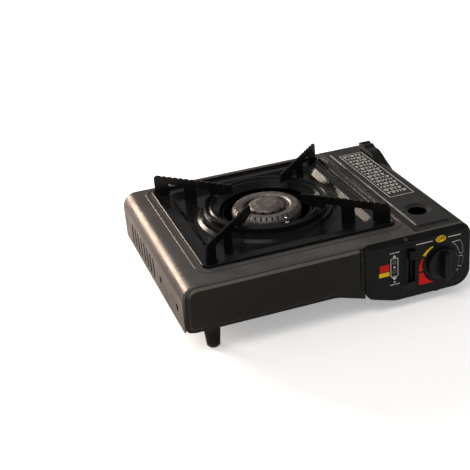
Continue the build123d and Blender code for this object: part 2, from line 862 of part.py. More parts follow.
def make_clamp_pins():
    end_x = partition_right_x + running_gap + sheet
    drive_y, follower_y = clamp_pin_places()
    drive_start = lever_x - lever_thickness / 2
    follower_start = partition_x - sheet
    with BuildPart() as pins:
        add(rod(right_plane(drive_start, drive_y, clamp_pin_z), clamp_pin_radius,
                end_x - drive_start))
        add(rod(right_plane(follower_start, follower_y, clamp_pin_z), clamp_pin_radius,
                end_x - follower_start))
    return pins.part


# ---------------------------------------------------------------- partition and rails
lead_radius = 1.1
lead_hole_gap = 0.3
lead_clearance = 8.0
lead_straight = 50.0
lead_turn_x = 0.148  # turning point beside the burner, in pan sizes
lead_turn_y = 0.396


def make_partition():
    """Heat shield between the burner and the cartridge."""
    back_y = tray_back_y - sheet
    front_y = tray_front_y + sheet
    outlet_y = outlet_point(outlet_distance_at(partition_x + sheet / 2))[1]
    slot_middle_y = clamp_pin_y + (clamp_pin_spacing - clamp_travel) / 2
    slot_length = clamp_travel + clamp_pin_spacing + 2 * (clamp_pin_radius + running_gap)
    with BuildPart() as wall:
        with BuildSketch(right_plane(partition_x, 0, 0)) as outline:
            with Locations((front_y, bay_floor_top)):
                Rectangle(back_y - front_y, top_z - sheet - bay_floor_top,
                          align=(Align.MIN, Align.MIN))
            fillet(outline.vertices().sort_by(Axis.X)[-2:].sort_by(Axis.Y)[-1], back_radius - 1.0)
        extrude(amount=sheet)
        with BuildSketch(right_plane(partition_x - sheet, 0, 0)):
            with Locations((outlet_y, tube_z)):
                Circle(2 * outlet_radius)
            with Locations((slot_middle_y, clamp_pin_z)):
                SlotOverall(slot_length, 2 * (clamp_pin_radius + running_gap))
            with Locations((lever_guide_pin_y(), clamp_pin_z)):
                Circle(clamp_pin_radius)
            with Locations((piezo_y(), piezo_lead_z())):
                Circle(lead_radius + lead_hole_gap)
            # cooling slots beside the cartridge
            with Locations((pan_y + vent_slot_shift, (left_floor_top + top_z) / 2)):
                with GridLocations(partition_vent_pitch, 1, partition_vent_count, 1):
                    SlotOverall(partition_vent_length, partition_vent_width, rotation=90)
        extrude(amount=3 * sheet, mode=Mode.SUBTRACT)
    return wall.part


vent_slot_shift = 35.0
partition_vent_pitch = 12.0
partition_vent_count = 10
partition_vent_length = 30.0
partition_vent_width = 3.5


def make_cartridge_rails():
    """Pressed saddle on the bay floor with two rails that the cartridge lies on."""
    rail_inner = rail_spacing / 2 - rail_width / 2
    rail_top = bay_axis_z - sqrt(cartridge_radius**2 - rail_inner**2)
    rail_front = clamp_plate_y + 2 * rail_width
    rail_length = 0.62 * body_depth
    with BuildPart() as rails:
        with BuildSketch(front_plane(bay_axis_x, rail_front + rail_length, bay_floor_top)):
            with GridLocations(rail_spacing, 1, 2, 1):
                Rectangle(rail_width, rail_top - bay_floor_top, align=(Align.CENTER, Align.MIN))
            Rectangle(rail_spacing, sheet, align=(Align.CENTER, Align.MIN))
        extrude(amount=rail_length)
    return rails.part


# ---------------------------------------------------------------- gas and ignition
def outlet_direction():
    """Unit direction in plan from the regulator's outlet to the burner's middle."""
    dx = pan_x - outlet_root()[0]
    dy = pan_y - outlet_root()[1]
    length = hypot(dx, dy)
    return dx / length, dy / length


def outlet_root():
    return bay_axis_x - outlet_start, regulator_y + regulator_length / 2


def outlet_point(distance):
    x, y = outlet_root()
    dx, dy = outlet_direction()
    return x + dx * distance, y + dy * distance


def outlet_distance_at(x):
    """Distance along the outlet where it reaches a given X."""
    return (x - outlet_root()[0]) / outlet_direction()[0]


def outlet_plane(distance):
    x, y = outlet_point(distance)
    dx, dy = outlet_direction()
    return Plane(origin=(x, y, tube_z), x_dir=(0, 0, 1), z_dir=(dx, dy, 0))


def make_regulator_body():
    upper_z = tube_z + outlet_radius + sheet
    lower_z = bay_axis_z - regulator_width / 2
    bar_top = bay_axis_z + boss_rise + boss_radius
    with BuildPart() as body:
        with BuildSketch(front_plane(0, regulator_y + regulator_length, 0)) as outline:
            with Locations((bay_axis_x, (lower_z + upper_z) / 2)):
                Rectangle(regulator_width, upper_z - lower_z)
            fillet(outline.vertices(), 4.0)
        extrude(amount=regulator_length)
        # mounting bar with two bosses that reach the front frame
        with BuildSketch(front_plane(bay_axis_x, regulator_y + 2 * sheet, 0)):
            with Locations((0, bar_top - boss_radius)):
                Rectangle(2 * boss_spread, 2 * boss_radius)
        extrude(amount=2 * sheet)
        for x, z in boss_places():
            with BuildSketch(front_plane(x, regulator_y + 2 * sheet, z)):
                Circle(boss_radius)
            extrude(amount=regulator_y + 2 * sheet - lip_y)
        with BuildSketch(front_plane(bay_axis_x, regulator_y + regulator_length / 2, bay_axis_z)):
            Circle(spindle_radius + fit_gap)
        extrude(amount=regulator_length, mode=Mode.SUBTRACT)
        for x, z in boss_places():
            with BuildSketch(front_plane(x, lip_y + 3 * sheet, z)):
                Circle(screw_radius)
            extrude(amount=4 * sheet, mode=Mode.SUBTRACT)
        # the gas outlet is screwed into its side
        with BuildSketch(outlet_plane(0)):
            Circle(outlet_radius)
        extrude(amount=outlet_length, mode=Mode.SUBTRACT)
    return body.part


def make_regulator_screws():
    return screw_solids([front_plane(x, frame_y, z) for x, z in boss_places()], 4 * sheet)


def make_regulator_cover():
    """Stamped diaphragm cap on top of the regulator."""
    base_z = tube_z + outlet_radius + sheet
    center_y = regulator_y + regulator_length - regulator_cover_radius - 2 * running_gap
    with BuildPart() as cover:
        with BuildSketch(Plane.XY.offset(base_z)):
            with Locations((bay_axis_x, center_y)):
                Circle(regulator_cover_radius)
        extrude(amount=regulator_cover_height / 3)
        with BuildSketch(Plane.XY.offset(base_z + regulator_cover_height / 3)):
            with Locations((bay_axis_x, center_y)):
                Circle(regulator_cover_radius * 0.72)
        extrude(amount=regulator_cover_height * 2 / 3)
        fillet(cover.faces().sort_by(Axis.Z)[-1].edges(), 1.5)
    return cover.part


def make_cartridge_socket():
    """Round mouth that takes the cartridge's collar, with a locating key at the top."""
    front_y = regulator_y + regulator_length
    with BuildPart() as socket:
        with BuildSketch(front_plane(bay_axis_x, front_y + socket_length, bay_axis_z)):
            Circle(socket_radius)
        extrude(amount=socket_length)
        with BuildSketch(front_plane(bay_axis_x, front_y + socket_length, bay_axis_z)):
            Circle(collar_radius)
        extrude(amount=socket_length - sheet, mode=Mode.SUBTRACT)
        with BuildSketch(front_plane(bay_axis_x, front_y + socket_length, bay_axis_z)):
            with Locations((0, collar_radius - 1.0)):
                Rectangle(4.0, 3.0)
        extrude(amount=socket_length)
        with BuildSketch(front_plane(bay_axis_x, front_y + socket_length, bay_axis_z)):
            Circle(spindle_radius)
        extrude(amount=socket_length, mode=Mode.SUBTRACT)
    return socket.part


def make_socket_seal():
    """Rubber ring that the cartridge valve presses on."""
    seal_y = regulator_y + regulator_length + sheet
    with BuildPart() as seal:
        with BuildSketch(front_plane(bay_axis_x, seal_y + sheet, bay_axis_z)):
            Circle(spindle_radius * 2)
            Circle(spindle_radius, mode=Mode.SUBTRACT)
        extrude(amount=sheet)
    return seal.part


def make_gas_outlet():
    with BuildPart() as outlet:
        with BuildSketch(outlet_plane(0)):
            Circle(outlet_radius)
        extrude(amount=outlet_length)
    return outlet.part


def make_gas_nozzle():
    """Brass jet on the end of the outlet: a hexagon with a tapered tip."""
    with BuildPart() as nozzle:
        with BuildSketch(outlet_plane(outlet_length)):
            RegularPolygon(outlet_radius, 6)
        extrude(amount=nozzle_length * 0.35)
        with BuildSketch(outlet_plane(outlet_length + nozzle_length * 0.35)):
            Circle(nozzle_radius)
        extrude(amount=nozzle_length * 0.65, taper=6)
    return nozzle.part


def make_mixing_tube():
    """Venturi: a belled mouth round the jet, then a straight tube into the burner."""
    start = outlet_length + nozzle_length - 2.0
    bell = 10.0
    end = hypot(pan_x - outlet_root()[0], pan_y - outlet_root()[1]) - burner_bowl_radius()
    with BuildPart() as tube:
        with BuildSketch(outlet_plane(start)):
            Circle(tube_bell_radius)
        with BuildSketch(outlet_plane(start + bell)):
            Circle(tube_radius)
        loft()
        with BuildSketch(outlet_plane(start + bell)):
            Circle(tube_radius)
        extrude(amount=end - start - bell + burner_wall)
        with BuildSketch(outlet_plane(start)):
            Circle(tube_bell_radius - tube_wall)
        with BuildSketch(outlet_plane(start + bell)):
            Circle(tube_radius - tube_wall)
        loft(mode=Mode.SUBTRACT)
        with BuildSketch(outlet_plane(start + bell)):
            Circle(tube_radius - tube_wall)
        extrude(amount=end, mode=Mode.SUBTRACT)
    return tube.part


def burner_bowl_radius():
    return burner_radius - 6.0


def revolved(points):
    """Solid of revolution about the burner's axis from (radius, height) points."""
    with BuildPart() as solid:
        with BuildSketch(Plane(origin=(pan_x, pan_y, 0), x_dir=(1, 0, 0), z_dir=(0, -1, 0))):
            with BuildLine():
                Polyline(*points, close=True)
            make_face()
        revolve(axis=Axis((pan_x, pan_y, 0), (0, 0, 1)))
    return solid.part


def burner_screw_planes():
    z = burner_base_z - sheet
    half = burner_screw_spacing / 2
    return [
        Plane(origin=(pan_x + side * half, pan_y, z), x_dir=(1, 0, 0), z_dir=(0, 0, -1))
        for side in (-1, 1)
    ]


def make_burner_base():
    bowl = burner_bowl_radius()
    wall = burner_wall
    with BuildPart() as base:
        add(revolved([
            (0, burner_base_z), (bowl - 6, burner_base_z), (bowl, burner_base_z + 6),
            (bowl, head_z - wall), (burner_radius - 2, head_z - wall), (burner_radius - 2, head_z),
            (bowl - wall, head_z), (bowl - wall, burner_base_z + 6 + wall),
            (bowl - 6 - wall, burner_base_z + wall), (0, burner_base_z + wall),
        ]))
        end = hypot(pan_x - outlet_root()[0], pan_y - outlet_root()[1]) - bowl
        with BuildSketch(outlet_plane(end - wall)):
            Circle(tube_radius)
        extrude(amount=3 * wall, mode=Mode.SUBTRACT)
        for plane in burner_screw_planes():
            with BuildSketch(plane):
                Circle(screw_radius)
            extrude(amount=-3 * wall, mode=Mode.SUBTRACT)
    return base.part


def make_burner_head():
    """Outer flame ring with a row of fine slots round its bevelled edge."""
    wall = burner_wall
    rim = burner_radius
    crown_z = burner_top_z - 3.0
    inner = inner_ring_radius + 6.0
    with BuildPart() as head:
        add(revolved([
            (inner_ring_radius - wall, head_z), (rim, head_z), (rim, crown_z - 5.0),
            (rim - 3.0, crown_z - 1.0), (rim - 5.0, crown_z), (inner + 2.0, crown_z),
            (inner, crown_z - 2.0), (inner, head_z + wall), (inner_ring_radius - wall, head_z + wall),
        ]))
        with BuildSketch(Plane.XY.offset(crown_z - 4.0)):
            with Locations((pan_x, pan_y)):
                with PolarLocations(rim - 2.0, burner_port_count):
                    Rectangle(7.0, burner_port_width)
        extrude(amount=5.0, mode=Mode.SUBTRACT)
    return head.part


def make_burner_cap():
    """Inner flame ring: a low tower with wide slots under a domed cap."""
    wall = burner_wall
    rim = inner_ring_radius
    floor_z = head_z + wall
    with BuildPart() as cap:
        add(revolved([
            (0, floor_z), (rim, floor_z), (rim, burner_top_z - 4.0), (rim - 2.0, burner_top_z - 2.0),
            (rim - 6.0, burner_top_z - 1.0), (rim - 9.0, burner_top_z), (0, burner_top_z),
        ]))
        with BuildSketch(Plane.XY.offset(burner_top_z - 7.0)):
            with Locations((pan_x, pan_y)):
                with PolarLocations(rim - 1.0, burner_port_count // 3):
                    Rectangle(5.0, 2.2 * burner_port_width)
        extrude(amount=3.4, mode=Mode.SUBTRACT)
    return cap.part


bracket_half_width = 38.0
bracket_depth = 34.0
bracket_foot = 10.0


def make_burner_bracket():
    """Bridge of bent sheet that carries the burner above the tray's floor."""
    height = burner_base_z - left_floor_top
    leg_x = bracket_half_width - sheet / 2
    with BuildPart() as bracket:
        with BuildSketch(right_plane(pan_x - bracket_depth / 2, pan_y, left_floor_top)):
            with Locations((0, height)):
                Rectangle(2 * bracket_half_width, sheet, align=(Align.CENTER, Align.MAX))
            for side in (-1, 1):
                with Locations((side * leg_x, 0)):
                    Rectangle(sheet, height, align=(Align.CENTER, Align.MIN))
                with Locations((side * (leg_x + bracket_foot / 2), 0)):
                    Rectangle(bracket_foot + sheet, sheet, align=(Align.CENTER, Align.MIN))
        extrude(amount=bracket_depth)
        for plane in burner_screw_planes():
            with BuildSketch(plane.offset(sheet)):
                Circle(screw_radius)
            extrude(amount=-3 * sheet, mode=Mode.SUBTRACT)
    return bracket.part


# igniter
electrode_radius = 2.2
electrode_gap = 5.0  # ceramic's axis outside the burner head
electrode_angle = -80.0
electrode_lower_z = 68.0
electrode_upper_z = 88.0
electrode_wire_radius = 0.8


def electrode_point(radius):
    turn = radians(electrode_angle)
    return pan_x + radius * cos(turn), pan_y + radius * sin(turn)


def make_electrode():
    x, y = electrode_point(burner_radius + electrode_gap)
    with BuildPart() as electrode:
        add(rod(Plane.XY.offset(electrode_lower_z).move(Location((x, y, 0))), electrode_radius,
                electrode_upper_z - electrode_lower_z))
        fillet(electrode.faces().sort_by(Axis.Z)[-1].edges(), 0.8)
    return electrode.part


def make_electrode_tip():
    x, y = electrode_point(burner_radius + electrode_gap)
    reach = electrode_gap - 2.0
    rise = 4.0
    turn = radians(electrode_angle)
    upper_z = electrode_upper_z + rise
    with BuildPart() as tip:
        add(rod(Plane.XY.offset(electrode_upper_z).move(Location((x, y, 0))),
                electrode_wire_radius, rise + electrode_wire_radius))
        inward = Plane(origin=(x, y, upper_z), z_dir=(-cos(turn), -sin(turn), 0))
        add(rod(inward, electrode_wire_radius, reach))
    return tip.part


def make_electrode_bracket():
    """Small arm off the burner bowl with a hole for the ceramic."""
    bowl = burner_bowl_radius()
    reach = burner_radius + electrode_gap + 2 * electrode_radius
    turn = radians(electrode_angle)
    start_x, start_y = electrode_point(bowl)
    arm_plane = Plane(origin=(start_x, start_y, electrode_lower_z + 3.0),
                      x_dir=(cos(turn), sin(turn), 0), z_dir=(0, 0, 1))
    with BuildPart() as bracket:
        with BuildSketch(arm_plane):
            Rectangle(reach - bowl, 8.0, align=(Align.MIN, Align.CENTER))
        extrude(amount=sheet)
        with BuildSketch(arm_plane):
            Rectangle(sheet, 8.0, align=(Align.MIN, Align.CENTER))
        extrude(amount=-7.0)
        with BuildSketch(arm_plane.offset(-1.0)):
            with Locations((burner_radius + electrode_gap - bowl, 0)):
                Circle(electrode_radius)
        extrude(amount=3 * sheet, mode=Mode.SUBTRACT)
        # the arm's root follows the bowl
        with BuildSketch(Plane.XY.offset(electrode_lower_z - 10.0)):
            with Locations((pan_x, pan_y)):
                Circle(bowl)
        extrude(amount=20.0, mode=Mode.SUBTRACT)
    return bracket.part


def piezo_y():
    return y_front + 9.0


def piezo_lead_z():
    return bay_floor_top + piezo_height - 4.0


def make_piezo_igniter():
    plane = Plane.XY.offset(bay_floor_top).move(Location((bay_axis_x, piezo_y(), 0)))
    with BuildPart() as piezo:
        with BuildSketch(plane):
            RectangleRounded(piezo_size, piezo_size, 1.5)
        extrude(amount=piezo_height)
        with BuildSketch(plane.offset(piezo_height)):
            Circle(spindle_radius + fit_gap)
        extrude(amount=-piezo_height / 2, mode=Mode.SUBTRACT)
    return piezo.part


def make_piezo_plunger():
    lower = bay_floor_top + piezo_height / 2 + cam_lift + running_gap
    upper = bay_axis_z - cam_radius - 2 * running_gap
    plane = Plane.XY.offset(lower).move(Location((bay_axis_x, piezo_y(), 0)))
    with BuildPart() as plunger:
        add(rod(plane, spindle_radius, upper - lower))
        chamfer(plunger.faces().sort_by(Axis.Z)[-1].edges(), 0.6)
    return plunger.part


def make_ignition_cam():
    """Spiral cam on the spindle: its lowest point drops evenly as the knob turns."""
    step = 15.0
    rise_steps = int(knob_turn / step)
    with BuildPart() as cam:
        with BuildSketch(front_plane(bay_axis_x, piezo_y() + cam_width / 2, bay_axis_z)):
            with BuildLine():
                spiral = []
                for i in range(rise_steps + 1):
                    turn = radians(-90.0 - i * step)
                    radius = cam_radius + cam_lift * i / rise_steps
                    spiral.append((radius * cos(turn), radius * sin(turn)))
                curve = Spline(*spiral)
                ThreePointArc(curve @ 1, (cam_radius, cam_radius / 2), curve @ 0)
            make_face()
            Circle(spindle_radius, mode=Mode.SUBTRACT)
        extrude(amount=cam_width)
    return cam.part


def make_igniter_lead():
    """High-voltage lead from the piezo, through the partition, up to the electrode."""
    end_x, end_y = electrode_point(burner_radius + electrode_gap)
    z = piezo_lead_z()
    low_z = left_floor_top + lead_clearance
    start_x = bay_axis_x - piezo_size / 2
    points = [
        (start_x, piezo_y(), z),
        (start_x - lead_straight, piezo_y(), z),
        (pan_x + lead_turn_x * pan_size, pan_y - lead_turn_y * pan_size, low_z + lead_clearance / 2),
        (end_x, end_y, low_z),
        (end_x, end_y, electrode_lower_z),
    ]
    runs = [Vector(b) - Vector(a) for a, b in zip(points, points[1:])]
    radii = []
    for before, after in zip(runs, runs[1:]):
        half_turn = radians(before.get_angle(after)) / 2
        radii.append(0.45 * min(before.length, after.length) / (sin(half_turn) / cos(half_turn)))
    print("igniter lead arc radii", [round(radius, 1) for radius in radii])
    with BuildPart() as lead:
        with BuildLine() as path:
            FilletPolyline(*points, radius=radii)
        with BuildSketch(Plane(origin=points[0], z_dir=runs[0])):
            Circle(lead_radius)
        sweep(path=path.wires()[0])
    print("igniter lead volume over section x length",
          round(lead.part.volume / (pi * lead_radius**2 * path.wires()[0].length), 4))
    return lead.part


# ---------------------------------------------------------------- knob
def make_knob():
    back_y = control_face_y - knob_gap
    skirt_y = back_y - knob_skirt
    with BuildPart() as knob:
        with BuildSketch(front_plane(bay_axis_x, back_y, bay_axis_z)):
            Circle(knob_radius)
        extrude(amount=knob_skirt)
        chamfer(knob.faces().sort_by(Axis.Y)[0].edges(), 1.2)
        with BuildSketch(front_plane(bay_axis_x, skirt_y, bay_axis_z)):
            SlotOverall(knob_grip_length, knob_grip_width, rotation=90)
        extrude(amount=skirt_y - knob_face_y, taper=4)
        fillet(knob.faces().sort_by(Axis.Y)[0].edges(), 1.0)
        with BuildSketch(front_plane(bay_axis_x, back_y, bay_axis_z)):
            Circle(spindle_radius)
        extrude(amount=knob_skirt + sheet, mode=Mode.SUBTRACT)
    return knob.part


def make_knob_spring():
    """Return spring round the spindle, between the steel frame and the knob."""
    start_y = frame_y - spring_wire_radius
    end_y = control_face_y - knob_gap + spring_wire_radius
    height = start_y - end_y
    with BuildPart() as spring:
        with BuildLine() as path:
            Helix(
                pitch=height / spring_turns,
                height=height,
                radius=spring_radius,
                center=(bay_axis_x, start_y, bay_axis_z),
                direction=(0, -1, 0),
            )
        with BuildSketch(Plane(origin=path.line @ 0, z_dir=path.line % 0)):
            Circle(spring_wire_radius)
        sweep(path=path.wires()[0])
    return spring.part


def make_valve_spindle():
    start_y = regulator_y + regulator_length / 2 - running_gap
    end_y = control_face_y - knob_gap - knob_skirt - sheet
    return rod(front_plane(bay_axis_x, start_y, bay_axis_z), spindle_radius, start_y - end_y)


# ---------------------------------------------------------------- drip pan and supports
def square_sketch(size, corner, z):
    with BuildSketch(Plane.XY.offset(z)) as square:
        with Locations((pan_x, pan_y)):
            RectangleRounded(size, size, corner)
    return square.sketch


def pan_recess(widen, lower_z, upper_z):
    """Tapered square hollow of the pan between two heights, widened outwards."""
    upper_size = pan_size - 2 * border_width + 2 * widen
    lower_size = upper_size - 2 * recess_run
    with BuildPart() as recess:
        add(square_sketch(lower_size, pan_corner + 4.0 + widen, lower_z))
        add(square_sketch(upper_size, pan_corner + 8.0 + widen, upper_z))
        loft()
    return recess.part


def make_drip_pan():
    thick = pan_sheet
    with BuildPart() as pan:
        # flat border inside a rolled rim
        add(square_sketch(pan_size, pan_corner, pan_z))
        extrude(amount=rim_height)
        inner = pan_size - 2 * rim_width
        add(square_sketch(inner, pan_corner - rim_width, pan_z + thick))
        extrude(amount=rim_height, mode=Mode.SUBTRACT)
        fillet(pan.faces().sort_by(Axis.Z)[-1].edges(), 1.2)
        # small step down in the border
        step_size = pan_size - 2 * border_step_inset
        add(square_sketch(step_size + 2 * thick, pan_corner, pan_z - border_step))
        extrude(amount=border_step + thick)
        add(square_sketch(step_size, pan_corner - thick, pan_z + thick - border_step))
        extrude(amount=border_step + thick, mode=Mode.SUBTRACT)
        # sloping wall and floor
        add(pan_recess(thick, pan_floor_z, pan_z + thick - border_step))
        add(pan_recess(0, pan_floor_z + thick, pan_z + 2 * thick - border_step), mode=Mode.SUBTRACT)
        # well for the burner, with a turned-up lip
        with BuildSketch(Plane.XY.offset(pan_floor_z - thick)):
            with Locations((pan_x, pan_y)):
                Circle(well_radius + thick)
        extrude(amount=3 * thick, mode=Mode.SUBTRACT)
        add(revolved([
            (well_lip_radius, pan_floor_z), (well_radius, pan_floor_z + well_lip_height),
            (well_radius, pan_floor_z + well_lip_height + thick),
            (well_lip_radius, pan_floor_z + thick),
        ]))
        with BuildSketch(Plane.XY.offset(pan_floor_z - thick)):
            with Locations((pan_x, pan_y)):
                Circle(well_radius)
        extrude(amount=3 * thick, mode=Mode.SUBTRACT)
    return pan.part


def make_wind_ring():
    """Stepped collar that stands on the pan floor round the burner."""
    thick = pan_sheet
    foot_z = pan_floor_z + thick
    rim_z = foot_z + ring_height
    groove_z = rim_z - ring_groove
    wall = ring_radius + 1.5
    upper = [
        (ring_foot_radius, foot_z), (ring_foot_radius - 4.0, foot_z + thick),
        (wall + 5.0, foot_z + 4.0), (wall + 3.5, foot_z + 8.0), (wall, foot_z + 9.0),
        (wall, rim_z - 1.2), (ring_radius + 0.8, rim_z), (ring_radius - 1.0, rim_z),
        (ring_radius - 2.5, rim_z - 1.2), (ring_step_radius + 2.5, groove_z),
        (ring_step_radius + 0.8, groove_z + 1.2), (ring_step_radius - 0.8, groove_z + 1.2),
        (ring_inner_radius, groove_z + 1.2 - ring_lip_drop),
    ]
    lower = [
        (ring_inner_radius + 0.5, groove_z + 0.2 - ring_lip_drop),
        (ring_step_radius + 0.1, groove_z), (ring_step_radius + 1.6, groove_z - 1.0),
        (ring_radius - 2.8, rim_z - 2.6), (wall - thick, rim_z - 2.6),
        (wall - thick, foot_z + 8.2), (wall + 2.6, foot_z + 7.2), (wall + 3.9, foot_z + 3.4),
        (ring_foot_radius - 4.6, foot_z),
    ]
    return revolved(upper + lower)


def make_pan_support(angle):
    """One upright plate from the pan's corner to the burner, with two windows."""
    turn = radians(angle)
    border_z = pan_z + pan_sheet
    floor_z = pan_floor_z + pan_sheet
    band_z = support_top_z - support_band
    outer = support_outer_radius
    outer_leg = outer - foot_leg_width
    mid_inner = mid_leg_outer_radius - mid_leg_width
    notch_count = int((outer - support_corner - notch_radius - notch_first) / notch_pitch) + 1
    plane = Plane(origin=(pan_x, pan_y, 0), x_dir=(cos(turn), sin(turn), 0),
                  z_dir=(sin(turn), -cos(turn), 0))
    with BuildPart() as support:
        with BuildSketch(plane.offset(-support_thickness / 2)) as profile:
            with BuildLine():
                Polyline(
                    (support_inner_radius, support_top_z),
                    (outer, support_top_z),
                    (outer, border_z),
                    (outer_leg, border_z),
                    (outer_leg, band_z),
                    (mid_leg_outer_radius, band_z),
                    (mid_leg_outer_radius, floor_z),
                    (mid_inner, floor_z),
                    (mid_inner, band_z),
                    (ring_radius + 3.5, band_z),
                    (ring_radius + 1.0, ring_top_z),
                    (ring_step_radius - 6.0, ring_top_z),
                    (support_inner_radius - 2.0, ring_top_z + 4.0),
                    close=True,
                )
            make_face()
            window_tops = profile.vertices().filter_by_position(
                Axis.Y, band_z - 0.1, band_z + 0.1
            )
            fillet(window_tops, 2.0)
            round_corner(profile, (outer, support_top_z), support_corner)
            # shallow notches that keep a pot from sliding
            for i in range(notch_count):
                middle = (notch_first + i * notch_pitch, support_top_z + notch_radius - notch_depth)
                with Locations(middle):
                    Circle(notch_radius, mode=Mode.SUBTRACT)
        extrude(amount=support_thickness)
        # bent feet under the legs
        for leg_start, leg_end, z in (
            (outer_leg, outer, border_z),
            (mid_inner, mid_leg_outer_radius, floor_z),
        ):
            with BuildSketch(Plane(origin=(pan_x, pan_y, z), x_dir=(cos(turn), sin(turn), 0),
                                   z_dir=(0, 0, 1))):
                with Locations(((leg_start + leg_end) / 2, support_thickness * 0.8)):
                    Rectangle(leg_end - leg_start - 6.0, 2.5 * support_thickness)
            extrude(amount=sheet)
    return support.part


# ---------------------------------------------------------------- lid
def lid_block(inset, y_start, y_end):
    lower_z = side_seam_z + lid_gap - (sheet if inset else 0)
    left_x = lid_left_x + inset
    right_x = x_right - inset
    with BuildPart() as block:
        with BuildSketch(front_plane(0, y_end, 0)) as section:
            with Locations((left_x, lower_z)):
                Rectangle(right_x - left_x, top_z - inset - lower_z, align=(Align.MIN, Align.MIN))
            upper_z = top_z - inset
            round_corner(section, (right_x, upper_z), max(right_edge_radius - inset, 1.0))
            round_corner(section, (left_x, upper_z), max(hinge_radius - inset, 0.5))
        extrude(amount=y_end - y_start)
    return block.part


lid_end_flange = 10.0
lid_hinge_drop = 9.0


def make_cartridge_lid():
    outer = lid_block(0, lid_front_y, lid_back_y)
    inner = lid_block(sheet, lid_front_y + sheet, lid_back_y - sheet)
    mouth = lid_block(sheet + lid_end_flange, lid_front_y - sheet, lid_back_y + sheet)
    panel_left = lid_left_x + lid_panel_margin
    panel_right = x_right - lid_panel_right
    panel_front = lid_front_y + lid_panel_front
    panel_back = lid_back_y - lid_panel_front
    with BuildPart() as lid:
        add(outer)
        add(inner, mode=Mode.SUBTRACT)
        add(mouth, mode=Mode.SUBTRACT)
        # the hinge edge is a short turned-down flange
        with BuildSketch(Plane.XY.offset(side_seam_z - sheet)):
            with Locations((lid_left_x - sheet, lid_front_y - sheet)):
                hinge_width = lid_end_flange + 3 * sheet
                Rectangle(hinge_width, body_depth, align=(Align.MIN, Align.MIN))
        extrude(amount=top_z - lid_hinge_drop - side_seam_z, mode=Mode.SUBTRACT)
        # pressed panel with a bevelled edge
        with BuildSketch(Plane.XY.offset(top_z)):
            with Locations(((panel_left + panel_right) / 2, (panel_front + panel_back) / 2)):
                RectangleRounded(panel_right - panel_left, panel_back - panel_front, 4.0)
        extrude(amount=lid_panel_height)
        chamfer(lid.faces().sort_by(Axis.Z)[-1].edges(), lid_panel_height * 0.8)
        # dished peep hole over the cartridge collar
        with BuildSketch(Plane.XY.offset(top_z + lid_panel_height)):
            with Locations((bay_axis_x, peep_y)):
                Circle(peep_flange)
        with BuildSketch(Plane.XY.offset(top_z - sheet)):
            with Locations((bay_axis_x, peep_y)):
                Circle(peep_radius)
        loft(mode=Mode.SUBTRACT)
        # pin holes in both end flanges
        with BuildSketch(front_plane(hinge_x, lid_back_y + sheet, hinge_z)):
            Circle(hinge_pin_radius + fit_gap)
        extrude(amount=body_depth, mode=Mode.SUBTRACT)
    return lid.part


grip_length = 65.0
grip_back_inset = 9.0  # grip's back end ahead of the lid's
grip_crest_run = 28.0
grip_back_slope = 3.0
grip_height = 11.0
grip_width_in_lid = 14.0
grip_side_inset = 1.0
grip_bump = 1.2
grip_tail = 16.0  # low front end that runs out on the shoulder


def make_lid_grip():
    """Moulded grip on the lid's rear right shoulder, with finger bumps along its crest."""
    left_x = x_right - grip_side_inset - grip_width_in_lid
    right_x = x_right - grip_side_inset
    back_y = lid_back_y - grip_back_inset
    front_y = back_y - grip_length
    tail_y = front_y - grip_tail
    crest_back = back_y - grip_back_slope
    crest_front = crest_back - grip_crest_run
    base_z = top_z - right_edge_radius
    crest_z = top_z + grip_height
    third = grip_crest_run / 3
    with BuildPart() as grip:
        with BuildSketch(right_plane(left_x, 0, 0)):
            with BuildLine():
                Polyline((tail_y, base_z), (tail_y, base_z + 2 * grip_bump))
                Spline(
                    (tail_y, base_z + 2 * grip_bump),
                    (front_y, top_z - 2 * grip_bump),
                    (front_y + 0.3 * (crest_front - front_y), top_z + 0.12 * grip_height),
                    (front_y + 0.7 * (crest_front - front_y), top_z + 0.62 * grip_height),
                    (crest_front, crest_z - 2 * grip_bump),
                    (crest_front + third, crest_z - 1.6 * grip_bump),
                    (crest_front + 1.5 * third, crest_z),
                    (crest_front + 2 * third, crest_z - grip_bump),
                    (crest_front + 2.5 * third, crest_z),
                    (crest_back, crest_z - grip_bump),
                )
                Polyline((crest_back, crest_z - grip_bump), (back_y, base_z), (tail_y, base_z))
            make_face()
        extrude(amount=right_x - left_x)
        add(tunnel_block(0, y_front, y_back, False), mode=Mode.SUBTRACT)
    return grip.part


def make_lid_hinge_brackets():
    """A small plate at each end of the lid that holds its pivot pin."""
    size = 9.0
    upper_z = top_z - sheet
    with BuildPart() as brackets:
        for start_y, end_y in (
            (lip_y + sheet, lid_front_y - running_gap),
            (lid_back_y + running_gap, lid_back_y + running_gap + sheet),
        ):
            with BuildSketch(front_plane(hinge_x, end_y, 0)):
                with Locations((0, upper_z)):
                    Rectangle(size, size, align=(Align.CENTER, Align.MAX))
                with Locations((0, hinge_z)):
                    Circle(hinge_pin_radius, mode=Mode.SUBTRACT)
            extrude(amount=end_y - start_y)
    return brackets.part


def make_lid_hinge_pins():
    length = 5.0
    back_end = lid_back_y + running_gap + 1.5 * sheet
    with BuildPart() as pins:
        add(rod(front_plane(hinge_x, lip_y + sheet + length, hinge_z), hinge_pin_radius, length))
        add(rod(front_plane(hinge_x, back_end, hinge_z), hinge_pin_radius, length))
    return pins.part


# ---------------------------------------------------------------- write the pieces
def save(part, name):
    part.label = name
    export_step(part, f"parts/{name}.step")


